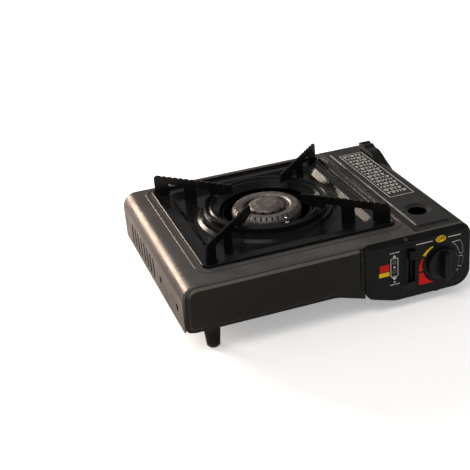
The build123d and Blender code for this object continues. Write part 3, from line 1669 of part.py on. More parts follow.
def main():
    os.makedirs("parts", exist_ok=True)
    foot_names = ("foot_front_left", "foot_back_left", "foot_front_right", "foot_back_right")
    for name, (x, y, height) in zip(foot_names, foot_places()):
        save(make_foot(x, y, height), name)
    support_angles = {
        "pan_support_front_left": 225,
        "pan_support_front_right": 315,
        "pan_support_back_right": 45,
        "pan_support_back_left": 135,
    }
    for name, angle in support_angles.items():
        save(make_pan_support(angle), name)
    pieces = {
        "body_shell": make_body_shell,
        "base_tray": make_base_tray,
        "foot_screws": make_foot_screws,
        "front_panel": make_front_panel,
        "front_frame": make_front_frame,
        "control_panel": make_control_panel,
        "control_panel_screw": make_control_panel_screw,
        "lever_guide": make_lever_guide,
        "lock_lever": make_lock_lever,
        "lever_button": make_lever_button,
        "lever_guide_pin": make_lever_guide_pin,
        "cartridge_clamp": make_cartridge_clamp,
        "clamp_pins": make_clamp_pins,
        "heat_shield": make_partition,
        "cartridge_rails": make_cartridge_rails,
        "regulator_body": make_regulator_body,
        "regulator_cover": make_regulator_cover,
        "regulator_screws": make_regulator_screws,
        "cartridge_socket": make_cartridge_socket,
        "socket_seal": make_socket_seal,
        "gas_outlet": make_gas_outlet,
        "gas_nozzle": make_gas_nozzle,
        "mixing_tube": make_mixing_tube,
        "burner_base": make_burner_base,
        "burner_head": make_burner_head,
        "burner_cap": make_burner_cap,
        "burner_bracket": make_burner_bracket,
        "electrode": make_electrode,
        "electrode_tip": make_electrode_tip,
        "electrode_bracket": make_electrode_bracket,
        "igniter_lead": make_igniter_lead,
        "piezo_igniter": make_piezo_igniter,
        "piezo_plunger": make_piezo_plunger,
        "ignition_cam": make_ignition_cam,
        "knob_spring": make_knob_spring,
        "valve_spindle": make_valve_spindle,
        "knob": make_knob,
        "drip_pan": make_drip_pan,
        "wind_ring": make_wind_ring,
        "cartridge_lid": make_cartridge_lid,
        "lid_grip": make_lid_grip,
        "lid_hinge_brackets": make_lid_hinge_brackets,
        "lid_hinge_pins": make_lid_hinge_pins,
    }
    for name, make in pieces.items():
        save(make(), name)
    save(screw_solids(back_screw_planes(), 3 * sheet), "back_screws")
    save(screw_solids(burner_screw_planes(), sheet + burner_wall), "burner_screws")


main()
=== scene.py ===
"""Looks of the butane cassette stove: paints, metals, printed marks, fasteners, light and camera.

Metres, in the row frame: +X right along the front, -Y the front, +Z up.
"""

import json
from math import cos, pi, radians, sin

import bmesh
import bpy
from mathutils import Matrix, Vector


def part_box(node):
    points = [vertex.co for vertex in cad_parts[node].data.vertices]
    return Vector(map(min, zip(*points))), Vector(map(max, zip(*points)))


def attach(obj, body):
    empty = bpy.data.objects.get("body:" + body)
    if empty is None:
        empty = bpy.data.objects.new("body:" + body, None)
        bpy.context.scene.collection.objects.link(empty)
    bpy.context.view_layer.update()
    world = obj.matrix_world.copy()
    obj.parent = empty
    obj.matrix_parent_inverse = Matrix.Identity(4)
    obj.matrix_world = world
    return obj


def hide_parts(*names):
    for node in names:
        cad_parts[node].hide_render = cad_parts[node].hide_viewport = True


MM = 0.001

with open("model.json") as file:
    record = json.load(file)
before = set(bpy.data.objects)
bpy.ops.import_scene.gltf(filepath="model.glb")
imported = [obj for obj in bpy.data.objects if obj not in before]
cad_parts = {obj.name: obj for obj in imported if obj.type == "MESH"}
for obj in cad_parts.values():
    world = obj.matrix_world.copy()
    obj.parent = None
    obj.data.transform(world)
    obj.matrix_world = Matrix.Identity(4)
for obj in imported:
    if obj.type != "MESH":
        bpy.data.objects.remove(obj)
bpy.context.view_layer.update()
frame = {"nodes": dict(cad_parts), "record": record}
cad = frame["nodes"]


# ---------------------------------------------------------------- shader helper
class Surface:
    """A Principled material whose patterns are laid out in the row frame."""

    def __init__(self, name, color, roughness, metallic=0.0, **sockets):
        self.material = bpy.data.materials.new(name)
        self.material.use_nodes = True
        self.material.diffuse_color = (*color, 1.0)
        self.tree = self.material.node_tree
        self.shader = self.tree.nodes["Principled BSDF"]
        self.place = self.node("ShaderNodeTexCoord").outputs["Object"]
        self.shader.inputs["Base Color"].default_value = (*color, 1.0)
        self.shader.inputs["Roughness"].default_value = roughness
        self.shader.inputs["Metallic"].default_value = metallic
        for socket, value in sockets.items():
            self.shader.inputs[socket.replace("_", " ")].default_value = value

    def node(self, kind, **settings):
        made = self.tree.nodes.new(kind)
        for key, value in settings.items():
            setattr(made, key, value)
        return made

    def link(self, start, end):
        self.tree.links.new(start, end)

    def noise(self, size_mm, detail=4.0, roughness=0.55, stretch=(1.0, 1.0, 1.0)):
        """Noise with features of about size_mm, drawn out along an axis by its stretch."""
        mapping = self.node("ShaderNodeMapping")
        mapping.inputs["Scale"].default_value = [1.0 / factor for factor in stretch]
        self.link(self.place, mapping.inputs["Vector"])
        noise = self.node("ShaderNodeTexNoise")
        noise.inputs["Scale"].default_value = 1.0 / (size_mm * MM)
        noise.inputs["Detail"].default_value = detail
        noise.inputs["Roughness"].default_value = roughness
        self.link(mapping.outputs["Vector"], noise.inputs["Vector"])
        return noise.outputs["Fac"]

    def cells(self, size_mm):
        """Distance to the middle of cells of about size_mm."""
        cells = self.node("ShaderNodeTexVoronoi")
        cells.inputs["Scale"].default_value = 1.0 / (size_mm * MM)
        self.link(self.place, cells.inputs["Vector"])
        return cells.outputs["Distance"]

    def span(self, value, low, high, to_low=0.0, to_high=1.0):
        """Value mapped from low..high to to_low..to_high, clamped."""
        remap = self.node("ShaderNodeMapRange")
        remap.inputs["From Min"].default_value = low
        remap.inputs["From Max"].default_value = high
        remap.inputs["To Min"].default_value = to_low
        remap.inputs["To Max"].default_value = to_high
        self.link(value, remap.inputs["Value"])
        return remap.outputs["Result"]

    def combine(self, operation, a, b):
        maths = self.node("ShaderNodeMath", operation=operation)
        for socket, value in zip(maths.inputs, (a, b)):
            if isinstance(value, (int, float)):
                socket.default_value = value
            else:
                self.link(value, socket)
        return maths.outputs["Value"]

    def mix(self, factor, a, b):
        """Colour between a and b; each is a colour or a socket."""
        mix = self.node("ShaderNodeMix", data_type="RGBA")
        self.link(factor, mix.inputs["Factor"])
        for index, value in ((6, a), (7, b)):
            if isinstance(value, tuple):
                mix.inputs[index].default_value = (*value, 1.0)
            else:
                self.link(value, mix.inputs[index])
        return mix.outputs[2]

    def axis(self, name):
        """One coordinate of the row frame, in metres."""
        split = self.node("ShaderNodeSeparateXYZ")
        self.link(self.place, split.inputs["Vector"])
        return split.outputs[name]

    def edge(self, width_mm):
        """1 near sharp edges, 0 on flat ground."""
        bevel = self.node("ShaderNodeBevel", samples=4)
        bevel.inputs["Radius"].default_value = width_mm * MM
        geometry = self.node("ShaderNodeNewGeometry")
        dot = self.node("ShaderNodeVectorMath", operation="DOT_PRODUCT")
        self.link(bevel.outputs["Normal"], dot.inputs[0])
        self.link(geometry.outputs["Normal"], dot.inputs[1])
        return self.span(dot.outputs["Value"], 0.97, 0.80)

    def facing(self, name):
        """Part of the surface normal along one axis of the row frame."""
        split = self.node("ShaderNodeSeparateXYZ")
        self.link(self.node("ShaderNodeNewGeometry").outputs["Normal"], split.inputs["Vector"])
        return split.outputs[name]

    def paint(self, socket):
        self.link(socket, self.shader.inputs["Base Color"])

    def rough(self, socket):
        self.link(socket, self.shader.inputs["Roughness"])

    def bump(self, height, depth_mm, strength=1.0):
        """Adds relief of depth_mm on top of any relief already there."""
        bump = self.node("ShaderNodeBump")
        bump.inputs["Distance"].default_value = depth_mm * MM
        bump.inputs["Strength"].default_value = strength
        self.link(height, bump.inputs["Height"])
        target = self.shader.inputs["Normal"]
        if target.is_linked:
            self.link(target.links[0].from_socket, bump.inputs["Normal"])
        self.link(bump.outputs["Normal"], target)


# ---------------------------------------------------------------- paints
SHADE_START_Z = 0.082  # the walls' painted shade, a dark brown in place of their dim reflection low down, begins here and is full at SHADE_FULL_Z
SHADE_FULL_Z = 0.050
WALL_INSIDE_X = 0.1655  # beyond this the shell is side wall
SLOTS_END_Y = 0.124  # the side slots and bores lie within this of the middle


def slot_shade_mask(s):
    """1 on the cut faces of the slots and bores in the shell's side walls, which are painted
    near-black as shade.
    """
    in_wall = s.span(s.combine("ABSOLUTE", s.axis("X"), 0.0), WALL_INSIDE_X, WALL_INSIDE_X + MM)
    crosswise = s.span(s.combine("ABSOLUTE", s.facing("Y"), 0.0), 0.6, 0.8)
    in_reach = s.span(s.combine("ABSOLUTE", s.axis("Y"), 0.0), SLOTS_END_Y + 2 * MM, SLOTS_END_Y)
    return s.combine("MULTIPLY", s.combine("MULTIPLY", in_wall, crosswise), in_reach)


def body_paint():
    """Charcoal enamel with a fine orange peel, dust and rubbed edges; painted shade makes the walls
    dark brown low down and the cut faces of the wall slots near-black.
    """
    s = Surface("body_paint", (0.055, 0.053, 0.052), 0.34, 0.36, Specular_IOR_Level=0.08)
    s.shader.inputs["Specular Tint"].default_value = (0.36, 0.26, 0.18, 1.0)
    cloud = s.noise(60, 3)
    tone = s.mix(s.span(cloud, 0.35, 0.7), (0.074, 0.072, 0.072), (0.094, 0.091, 0.090))
    dust_and_painted_highlight = s.span(s.noise(3.5, 6), 0.60, 0.78, 0.0, 0.35)
    dusty = s.mix(dust_and_painted_highlight, tone, (0.135, 0.130, 0.126))
    worn = s.combine("MULTIPLY", s.edge(0.8), s.span(s.noise(5, 5), 0.45, 0.65))
    # painted shade: the walls go dark brown towards the bottom, in place of a dim reflection
    painted_shade = s.span(s.axis("Z"), SHADE_START_Z, SHADE_FULL_Z, 0.0, 0.9)
    with_painted_shade = s.mix(painted_shade, dusty, (0.020, 0.012, 0.007))
    rubbed = s.mix(worn, with_painted_shade, (0.17, 0.16, 0.15))
    # painted shade: the cut faces of the wall slots are near-black, in place of the dark seen through
    # the slots
    s.paint(s.mix(slot_shade_mask(s), rubbed, (0.002, 0.002, 0.002)))
    s.rough(s.span(s.noise(22, 5), 0.3, 0.75, 0.24, 0.37))
    s.bump(s.noise(1.3, 2), 0.030, 0.5)
    s.bump(s.noise(35, 2, stretch=(1, 4, 1)), 0.25, 0.25)
    return s.material


def front_panel_paint():
    """Warm black-brown enamel with a painted highlight on whatever faces up."""
    s = Surface("front_panel_paint", (0.010, 0.008, 0.0065), 0.42, 0.0, Specular_IOR_Level=0.12)
    cloud = s.noise(45, 3, stretch=(3, 1, 1))
    tone = s.mix(s.span(cloud, 0.35, 0.7), (0.008, 0.0065, 0.005), (0.012, 0.010, 0.008))
    worn = s.combine("MULTIPLY", s.edge(0.7), s.span(s.noise(4, 5), 0.5, 0.65))
    rubbed = s.mix(worn, tone, (0.09, 0.08, 0.07))
    # painted highlight: faces that tilt upwards are painted paler, as if lit from above
    dust_and_painted_highlight = s.span(s.facing("Z"), 0.12, 0.60, 0.0, 0.9)
    s.paint(s.mix(dust_and_painted_highlight, rubbed, (0.115, 0.103, 0.088)))
    s.rough(s.span(s.noise(18, 5), 0.3, 0.75, 0.32, 0.46))
    s.bump(s.noise(1.2, 2), 0.025, 0.5)
    return s.material


def lid_paint():
    """Satin black with a fine leathery grain and a few pale scuffs."""
    s = Surface("lid_paint", (0.012, 0.012, 0.012), 0.45, 0.0, Specular_IOR_Level=0.2)
    scuff = s.span(s.noise(9, 8, 0.7, (1, 6, 1)), 0.62, 0.74, 0.0, 0.5)
    tone = s.mix(scuff, (0.011, 0.011, 0.011), (0.024, 0.024, 0.024))
    worn = s.combine("MULTIPLY", s.edge(0.7), s.span(s.noise(5, 5), 0.45, 0.65))
    s.paint(s.mix(worn, tone, (0.10, 0.10, 0.10)))
    s.rough(s.span(s.noise(14, 5), 0.3, 0.75, 0.38, 0.54))
    s.bump(s.noise(0.9, 3), 0.030, 0.6)
    return s.material


def control_panel_paint():
    """Satin black moulding: spark-eroded grain with a faint sheen."""
    s = Surface("control_panel_paint", (0.005, 0.005, 0.005), 0.40, 0.0, Specular_IOR_Level=0.12)
    s.paint(s.mix(s.span(s.noise(30, 4), 0.4, 0.7), (0.004, 0.004, 0.004), (0.007, 0.0065, 0.006)))
    s.rough(s.span(s.noise(12, 5), 0.3, 0.75, 0.36, 0.50))
    s.bump(s.noise(0.6, 2), 0.018, 0.6)
    return s.material


def enamel():
    """Vitreous black: slow waves in the glaze, pinholes, dull heat-stained patches."""
    s = Surface("enamel", (0.006, 0.006, 0.006), 0.28, 0.0, Specular_IOR_Level=0.10)
    stain = s.span(s.noise(26, 6, 0.6), 0.55, 0.78, 0.0, 0.6)
    s.paint(s.mix(stain, (0.005, 0.005, 0.005), (0.016, 0.013, 0.011)))
    s.rough(s.span(s.noise(15, 5), 0.35, 0.8, 0.20, 0.36))
    s.bump(s.noise(14, 2), 0.06, 0.2)
    s.bump(s.span(s.cells(2.6), 0.0, 0.07), 0.01, 0.12)
    return s.material


# ---------------------------------------------------------------- metals
FLAME_PORT_Z = (0.084, 0.093)  # the casting browns between these heights


def plated_steel():
    """Zinc-plated sheet: fine rolling lines and cloudy spangle."""
    s = Surface("plated_steel", (0.42, 0.42, 0.43), 0.36, 1.0)
    spangle = s.noise(7, 5)
    s.paint(s.mix(s.span(spangle, 0.35, 0.7), (0.34, 0.34, 0.34), (0.50, 0.50, 0.51)))
    s.rough(s.span(s.noise(3, 6, 0.6, (1, 12, 1)), 0.3, 0.75, 0.26, 0.48))
    s.bump(s.noise(0.5, 3, 0.5, (1, 20, 1)), 0.012, 0.5)
    return s.material


def bright_steel():
    """Nickel-plated fasteners with handling marks."""
    s = Surface("bright_steel", (0.62, 0.61, 0.59), 0.22, 1.0)
    s.paint(s.mix(s.span(s.noise(1.6, 5), 0.4, 0.7), (0.50, 0.49, 0.47), (0.68, 0.67, 0.65)))
    s.rough(s.span(s.noise(0.8, 5), 0.3, 0.75, 0.16, 0.38))
    s.bump(s.noise(0.4, 2), 0.01, 0.4)
    return s.material


def blackened_steel():
    """Black-zinc screw, bare where the driver has rubbed it."""
    s = Surface("blackened_steel", (0.10, 0.10, 0.10), 0.34, 1.0)
    s.paint(s.mix(s.edge(0.3), (0.07, 0.07, 0.07), (0.26, 0.25, 0.24)))
    s.rough(s.span(s.noise(0.8, 5), 0.3, 0.75, 0.26, 0.46))
    s.bump(s.noise(0.4, 2), 0.01, 0.4)
    return s.material


def cast_alloy():
    """Die-cast alloy: sandy skin and slightly darker hollows."""
    s = Surface("cast_alloy", (0.42, 0.41, 0.40), 0.52, 1.0)
    s.paint(s.mix(s.span(s.noise(4, 6), 0.35, 0.7), (0.30, 0.29, 0.28), (0.48, 0.47, 0.46)))
    s.rough(s.span(s.noise(2, 5), 0.3, 0.75, 0.42, 0.64))
    s.bump(s.noise(0.7, 4), 0.05, 0.7)
    return s.material


def burner_iron():
    """Heat-dulled grey casting that browns towards the flame ports."""
    s = Surface("burner_iron", (0.16, 0.155, 0.15), 0.5, 0.85)
    cast = s.mix(s.span(s.noise(5, 6), 0.35, 0.7), (0.11, 0.105, 0.10), (0.21, 0.20, 0.195))
    near_ports = s.span(s.axis("Z"), *FLAME_PORT_Z)
    heat = s.combine("MULTIPLY", near_ports, s.span(s.noise(8, 4), 0.4, 0.7))
    s.paint(s.mix(heat, cast, (0.10, 0.075, 0.065)))
    s.rough(s.span(s.noise(2, 5), 0.3, 0.75, 0.40, 0.66))
    s.bump(s.noise(0.8, 4), 0.06, 0.7)
    return s.material


def brass():
    """Turned brass with tool rings and a light tarnish."""
    s = Surface("brass", (0.62, 0.43, 0.16), 0.26, 1.0)
    tarnish = s.span(s.noise(6, 6), 0.5, 0.75, 0.0, 0.8)
    s.paint(s.mix(tarnish, (0.64, 0.45, 0.17), (0.36, 0.22, 0.08)))
    s.rough(s.span(s.noise(2, 5), 0.3, 0.75, 0.18, 0.42))
    s.bump(s.noise(0.35, 2, 0.5, (6, 6, 1)), 0.012, 0.5)
    return s.material


# ---------------------------------------------------------------- plastics and the rest
FOOT_DUST_Z = (0.006, 0.0)  # floor dust on the rubber grows downwards between these heights
SMOKE_Z = (0.080, 0.089)  # the insulator is smoked between these heights


def black_plastic():
    """Fine-grained black moulding, polished a little where fingers rub it."""
    s = Surface("black_plastic", (0.004, 0.004, 0.004), 0.34, 0.0, Specular_IOR_Level=0.14)
    s.paint(s.mix(s.span(s.noise(20, 4), 0.4, 0.7), (0.003, 0.003, 0.003), (0.006, 0.006, 0.006)))
    s.rough(s.span(s.noise(9, 5), 0.3, 0.75, 0.24, 0.44))
    s.bump(s.noise(0.5, 2), 0.015, 0.6)
    return s.material


def cam_plastic():
    """Natural nylon: milky and slightly waxy."""
    s = Surface("cam_plastic", (0.62, 0.60, 0.54), 0.42, 0.0, Subsurface_Weight=0.15)
    s.paint(s.mix(s.span(s.noise(6, 4), 0.35, 0.7), (0.56, 0.54, 0.47), (0.68, 0.66, 0.61)))
    s.rough(s.span(s.noise(3, 4), 0.3, 0.75, 0.34, 0.52))
    s.bump(s.noise(0.8, 2), 0.02, 0.4)
    return s.material


def rubber():
    """Matt black rubber with moulding bloom and floor dust low down."""
    s = Surface("rubber", (0.006, 0.006, 0.005), 0.7, 0.0, Specular_IOR_Level=0.12)
    bloom = s.mix(s.span(s.noise(5, 6), 0.45, 0.75), (0.005, 0.005, 0.004), (0.010, 0.009, 0.008))
    near_floor = s.span(s.axis("Z"), *FOOT_DUST_Z)
    dust_and_painted_highlight = s.combine("MULTIPLY", near_floor, s.span(s.noise(2, 5), 0.4, 0.6))
    s.paint(s.mix(dust_and_painted_highlight, bloom, (0.09, 0.085, 0.075)))
    s.rough(s.span(s.noise(3, 4), 0.3, 0.75, 0.60, 0.82))
    s.bump(s.noise(0.5, 3), 0.03, 0.7)
    return s.material


def lead_sleeve():
    """Red silicone lead with a dusty film."""
    s = Surface("lead_sleeve", (0.34, 0.03, 0.02), 0.5)
    s.paint(s.mix(s.span(s.noise(4, 5), 0.4, 0.75), (0.36, 0.03, 0.02), (0.24, 0.06, 0.045)))
    s.rough(s.span(s.noise(2, 4), 0.3, 0.75, 0.42, 0.62))
    s.bump(s.noise(0.4, 2), 0.01, 0.5)
    return s.material


def ceramic():
    """White glazed insulator with a smoked upper end."""
    s = Surface("ceramic", (0.76, 0.73, 0.67), 0.2, 0.0, Coat_Weight=0.4)
    near_flame = s.span(s.axis("Z"), *SMOKE_Z)
    smoke = s.combine("MULTIPLY", near_flame, s.span(s.noise(2, 4), 0.3, 0.6))
    s.paint(s.mix(smoke, (0.76, 0.73, 0.67), (0.22, 0.19, 0.16)))
    s.rough(s.span(s.noise(1.5, 4), 0.3, 0.75, 0.14, 0.32))
    s.bump(s.noise(1.0, 2), 0.01, 0.4)
    return s.material


def ink(name, color, faded):
    """Screen-printed ink: slightly uneven, worn thin in tiny specks."""
    s = Surface(name, color, 0.45, 0.0, Specular_IOR_Level=0.1)
    specks = s.span(s.noise(0.45, 4), 0.64, 0.76, 0.0, 0.6)
    s.paint(s.mix(specks, color, faded))
    s.rough(s.span(s.noise(2, 4), 0.3, 0.75, 0.36, 0.56))
    s.bump(s.noise(0.3, 2), 0.008, 0.5)
    return s.material


SLOT_MATERIALS = {
    "body_paint": body_paint(),
    "front_panel_paint": front_panel_paint(),
    "lid_paint": lid_paint(),
    "control_panel_paint": control_panel_paint(),
    "enamel": enamel(),
    "plated_steel": plated_steel(),
    "bright_steel": bright_steel(),
    "cast_alloy": cast_alloy(),
    "burner_iron": burner_iron(),
    "brass": brass(),
    "black_plastic": black_plastic(),
    "cam_plastic": cam_plastic(),
    "rubber": rubber(),
    "lead_sleeve": lead_sleeve(),
    "ceramic": ceramic(),
}
BLACKENED_STEEL = blackened_steel()
WHITE_INK = ink("white_ink", (0.66, 0.65, 0.62), (0.26, 0.26, 0.25))
YELLOW_INK = ink("yellow_ink", (0.78, 0.50, 0.010), (0.42, 0.27, 0.01))
RED_INK = ink("red_ink", (0.60, 0.012, 0.008), (0.26, 0.01, 0.006))
BLACK_INK = ink("black_ink", (0.010, 0.008, 0.005), (0.03, 0.02, 0.01))


def dress_cad_nodes():
    for entry in frame["record"]["subparts"]:
        mesh = cad[entry["node"]].data
        mesh.materials.clear()
        mesh.materials.append(SLOT_MATERIALS[entry["material_slot"]])


# ---------------------------------------------------------------- softened sheet edges
EDGE_ROUNDING_MM = {
    "body_shell": 0.35,
    "front_panel": 0.4,
    "cartridge_lid": 0.4,
    "control_panel": 0.3,
    "drip_pan": 0.25,
    "pan_support_front_left": 0.4,
    "pan_support_front_right": 0.4,
    "pan_support_back_left": 0.4,
    "pan_support_back_right": 0.4,
    "lid_grip": 0.5,
    "lever_button": 0.25,
    "lever_guide": 0.25,
    "burner_head": 0.25,
    "burner_cap": 0.3,
}
WELD_REACH = 0.002 * MM
SHARP_EDGE = radians(38)


def soften_edges():
    """Rounds the sharp edges of the pieces that show."""
    for name, width in EDGE_ROUNDING_MM.items():
        weld = cad[name].modifiers.new("weld", "WELD")
        weld.merge_threshold = WELD_REACH
        bevel = cad[name].modifiers.new("edges", "BEVEL")
        bevel.width = width * MM
        bevel.segments = 2
        bevel.limit_method = "ANGLE"
        bevel.angle_limit = SHARP_EDGE
        bevel.harden_normals = True
        bevel.miter_outer = "MITER_ARC"


# ---------------------------------------------------------------- screws with a cross recess
HEAD_RADIUS = 3.8 * MM
HEAD_HEIGHT = 1.6 * MM
SHANK_RADIUS = 2.0 * MM
HEAD_RIM = 0.2 * MM  # a solid's points this near its outer end are its head's flat
HEAD_FLAT = 0.55  # the domed head's flat top over its radius
RECESS_DEPTH = 0.75  # of the head's height
RECESS_ARM = 0.52  # of the head's radius
RECESS_HALF_WIDTH = 0.14
RECESS_TAPER = 0.6
THREAD_PITCH = 0.5 * MM
THREAD_ROOT = 0.86  # of the shank's radius
SMOOTH_ANGLE = radians(35)
SPIN_STEP = radians(37)


def new_object(name, mesh, material, body):
    obj = bpy.data.objects.new(name, mesh)
    bpy.context.scene.collection.objects.link(obj)
    mesh.materials.append(material)
    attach(obj, body)
    return obj


def head_places(node, outward):
    """Middle of the outer end of each solid of a screw node."""
    weld = {}
    parent = {}

    def root(key):
        while parent[key] != key:
            key = parent[key]
        return key

    mesh = cad[node].data
    for vertex in mesh.vertices:
        key = tuple(round(value, 6) for value in vertex.co)
        weld[vertex.index] = key
        parent.setdefault(key, key)
    for edge in mesh.edges:
        a, b = (root(weld[index]) for index in edge.vertices)
        parent[a] = b
    solids = {}
    for key in parent:
        solids.setdefault(root(key), []).append(Vector(key))
    places = []
    for points in solids.values():
        reach = max(point.dot(outward) for point in points)
        rim = [point for point in points if reach - point.dot(outward) < HEAD_RIM]
        places.append(sum(rim, Vector()) / len(rim))
    return places


def ring(mesh, radius, z, turns):
    """New vertices on a level circle."""
    angles = [2 * pi * i / turns for i in range(turns)]
    return [mesh.verts.new((radius * cos(a), radius * sin(a), z)) for a in angles]


def join_rings(mesh, lower, upper):
    """Quads between two closed loops of as many vertices."""
    count = len(lower)
    for i in range(count):
        j = (i + 1) % count
        mesh.faces.new((lower[i], lower[j], upper[j], upper[i]))


def screw_head(radius, height):
    """Domed screw head, still without its recess, as a bmesh; its top is at z = 0."""
    rings, turns = 5, 32
    mesh = bmesh.new()
    loops = []
    for step in range(rings + 1):
        angle = step / rings * pi / 2
        ring_radius = radius * (HEAD_FLAT + (1 - HEAD_FLAT) * cos(angle))
        loops.append(ring(mesh, ring_radius, height * sin(angle) - height, turns))
    for lower, upper in zip(loops, loops[1:]):
        join_rings(mesh, lower, upper)
    mesh.faces.new(list(reversed(loops[0])))
    mesh.faces.new(loops[-1])
    return mesh


def cross_cutter(radius, depth):
    """Cross-shaped tapered tool round z = 0, as a bmesh."""
    arm, half = radius * RECESS_ARM, radius * RECESS_HALF_WIDTH
    outline = []
    for quarter in range(4):
        turn = Matrix.Rotation(quarter * pi / 2, 2)
        for x, y in ((arm, -half), (arm, half), (half, half)):
            outline.append(turn @ Vector((x, y)))
    mesh = bmesh.new()
    upper = [mesh.verts.new((p.x, p.y, depth)) for p in outline]
    lower = [mesh.verts.new((p.x * RECESS_TAPER, p.y * RECESS_TAPER, -depth)) for p in outline]
    join_rings(mesh, lower, upper)
    mesh.faces.new(list(reversed(lower)))
    mesh.faces.new(upper)
    return mesh


def mesh_object(name, shape):
    mesh = bpy.data.meshes.new(name)
    shape.to_mesh(mesh)
    shape.free()
    obj = bpy.data.objects.new(name, mesh)
    bpy.context.scene.collection.objects.link(obj)
    return obj


def make_screw_mesh(name, head_radius, head_height, shank_radius, shank_length):
    """Recessed head and a threaded shank, with the head's top at the origin and +Z outward."""
    head = mesh_object(name + "_head", screw_head(head_radius, head_height))
    tool = mesh_object(name + "_tool", cross_cutter(head_radius, RECESS_DEPTH * head_height))
    cut = head.modifiers.new("cross", "BOOLEAN")
    cut.object = tool
    cut.solver = "EXACT"
    graph = bpy.context.evaluated_depsgraph_get()
    shape = bmesh.new()
    shape.from_mesh(head.evaluated_get(graph).to_mesh())
    # thread: rings of alternating radius
    turns = 20
    count = int(shank_length / THREAD_PITCH) * 2
    loops = []
    for step in range(count + 1):
        radius = shank_radius * (1.0 if step % 2 else THREAD_ROOT)
        z = -head_height - step * THREAD_PITCH / 2
        loops.append(ring(shape, radius, z, turns))
    for upper, lower in zip(loops, loops[1:]):
        join_rings(shape, lower, upper)
    shape.faces.new(list(reversed(loops[-1])))
    shape.faces.new(loops[0])
    mesh = bpy.data.meshes.new(name)
    shape.to_mesh(mesh)
    shape.free()
    for leftover in (head, tool):
        bpy.data.objects.remove(leftover)
    for polygon in mesh.polygons:
        polygon.use_smooth = True
    mesh.set_sharp_from_angle(angle=SMOOTH_ANGLE)
    return mesh


def place_screws(node, outward, head_radius, head_height, shank_radius, shank_length, metal=None):
    """Puts recessed screws where a node's plain ones stand, each turned by its own angle."""
    one = make_screw_mesh(node, head_radius, head_height, shank_radius, shank_length)
    joined = bmesh.new()
    for place in head_places(node, outward):
        turn = Vector((0, 0, 1)).rotation_difference(outward).to_matrix().to_4x4()
        spin = Matrix.Rotation(SPIN_STEP * (1 + len(joined.verts) % 5), 4, "Z")
        copy = one.copy()
        copy.transform(Matrix.Translation(place) @ turn @ spin)
        joined.from_mesh(copy)
        bpy.data.meshes.remove(copy)
    mesh = bpy.data.meshes.new(node + "_recessed")
    joined.to_mesh(mesh)
    joined.free()
    metal = metal or SLOT_MATERIALS["bright_steel"]
    obj = new_object(node + "_recessed", mesh, metal, "housing")
    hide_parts(node)


def make_screws():
    front = Vector((0, -1, 0))
    back = Vector((0, 1, 0))
    down = Vector((0, 0, -1))
    bevel = Vector((0, -6, 5)).normalized()
    shanks = (
        ("back_screws", back, 3.6),
        ("foot_screws", down, 8.4),
        ("burner_screws", down, 3.7),
        ("regulator_screws", front, 4.8),
    )
    for node, outward, length in shanks:
        place_screws(node, outward, HEAD_RADIUS, HEAD_HEIGHT, SHANK_RADIUS, length * MM)
    place_screws(
        "control_panel_screw", bevel, 2.2 * MM, 1.2 * MM, 1.2 * MM, 3.8 * MM, BLACKENED_STEEL
    )


# ---------------------------------------------------------------- printed marks
INK_THICKNESS = 0.06 * MM
INK_SINK = 0.03 * MM
LETTER_WEIGHT = 0.14 * MM


def box_shape(left, low, right, high):
    return [(left, low), (right, low), (right, high), (left, high)]


def ellipse(center, half_width, half_height, steps=40):
    cx, cz = center
    angles = [2 * pi * i / steps for i in range(steps)]
    return [(cx + half_width * cos(a), cz + half_height * sin(a)) for a in angles]


def stroke(points, width, closed=False):
    """Four-sided strips along a line of points."""
    pairs = list(zip(points, points[1:] + points[:1] if closed else points[1:]))
    strips = []
    for a, b in pairs:
        start, end = Vector(a), Vector(b)
        along = (end - start).normalized()
        side = Vector((-along.y, along.x)) * width / 2
        start, end = start - along * width / 2, end + along * width / 2
        strips.append([tuple(p) for p in (start - side, end - side, end + side, start + side)])
    return strips


def print_marks(name, shapes, lay, material, body):
    """Thin raised ink from flat shapes in millimetres; lay(u, v, height) gives the 3-D point."""
    mesh_data = bmesh.new()
    for shape in shapes:
        area = sum(a[0] * b[1] - b[0] * a[1] for a, b in zip(shape, shape[1:] + shape[:1]))
        loop = shape if area > 0 else list(reversed(shape))
        top = [mesh_data.verts.new(lay(u, v, INK_THICKNESS)) for u, v in loop]
        base = [mesh_data.verts.new(lay(u, v, -INK_SINK)) for u, v in loop]
        mesh_data.faces.new(top)
        mesh_data.faces.new(list(reversed(base)))
        join_rings(mesh_data, base, top)
    bmesh.ops.triangulate(mesh_data, faces=[f for f in mesh_data.faces if len(f.verts) > 4])
    bmesh.ops.recalc_face_normals(mesh_data, faces=mesh_data.faces)
    mesh = bpy.data.meshes.new(name)
    mesh_data.to_mesh(mesh)
    mesh_data.free()
    new_object(name, mesh, material, body)


PANEL_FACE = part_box("control_panel")[0].y
LID_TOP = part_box("cartridge_lid")[1].z
CAP_SHARE = 0.70  # the font's capitals over its size

# places on the control panel, in millimetres along and up; angles round the knob are in degrees,
# counterclockwise from the right
KNOB_CENTER = (133.0, 47.0)
OFF_CENTER = (131.4, 76.8)
OFF_HALF_WIDTH, OFF_HALF_HEIGHT = 6.4, 4.0
OFF_LETTERS = 4.0
SCALE_INNER = 24.8
RULE_WIDTH = 0.9
LINE_WIDTH = 0.6
BLOCKS_RIGHT = 67.2
CORNER_LEFT, CORNER_RIGHT = 104.0, 122.0
CORNER_LOW, CORNER_HIGH = 24.2, 39.2
DIAGRAM_LEFT, DIAGRAM_RIGHT = 69.2, 77.8
DIAGRAM_LOW, DIAGRAM_HIGH = 43.5, 66.0
CAPTION_BARS = (68.2, 70.1, 72.0, 74.5, 76.4, 78.3)

# the lid's printed block, in millimetres along and back
LID_PRINT_LEFT, LID_PRINT_RIGHT = 120.0, 152.0
LID_PRINT_FRONT, LID_PRINT_BACK = -32.0, 115.0
LID_PRINT_ROWS = 15


def on_panel(u, v, height):
    return (u * MM, PANEL_FACE - height, v * MM)


def on_lid(u, v, height):
    return (u * MM, v * MM, LID_TOP + height)


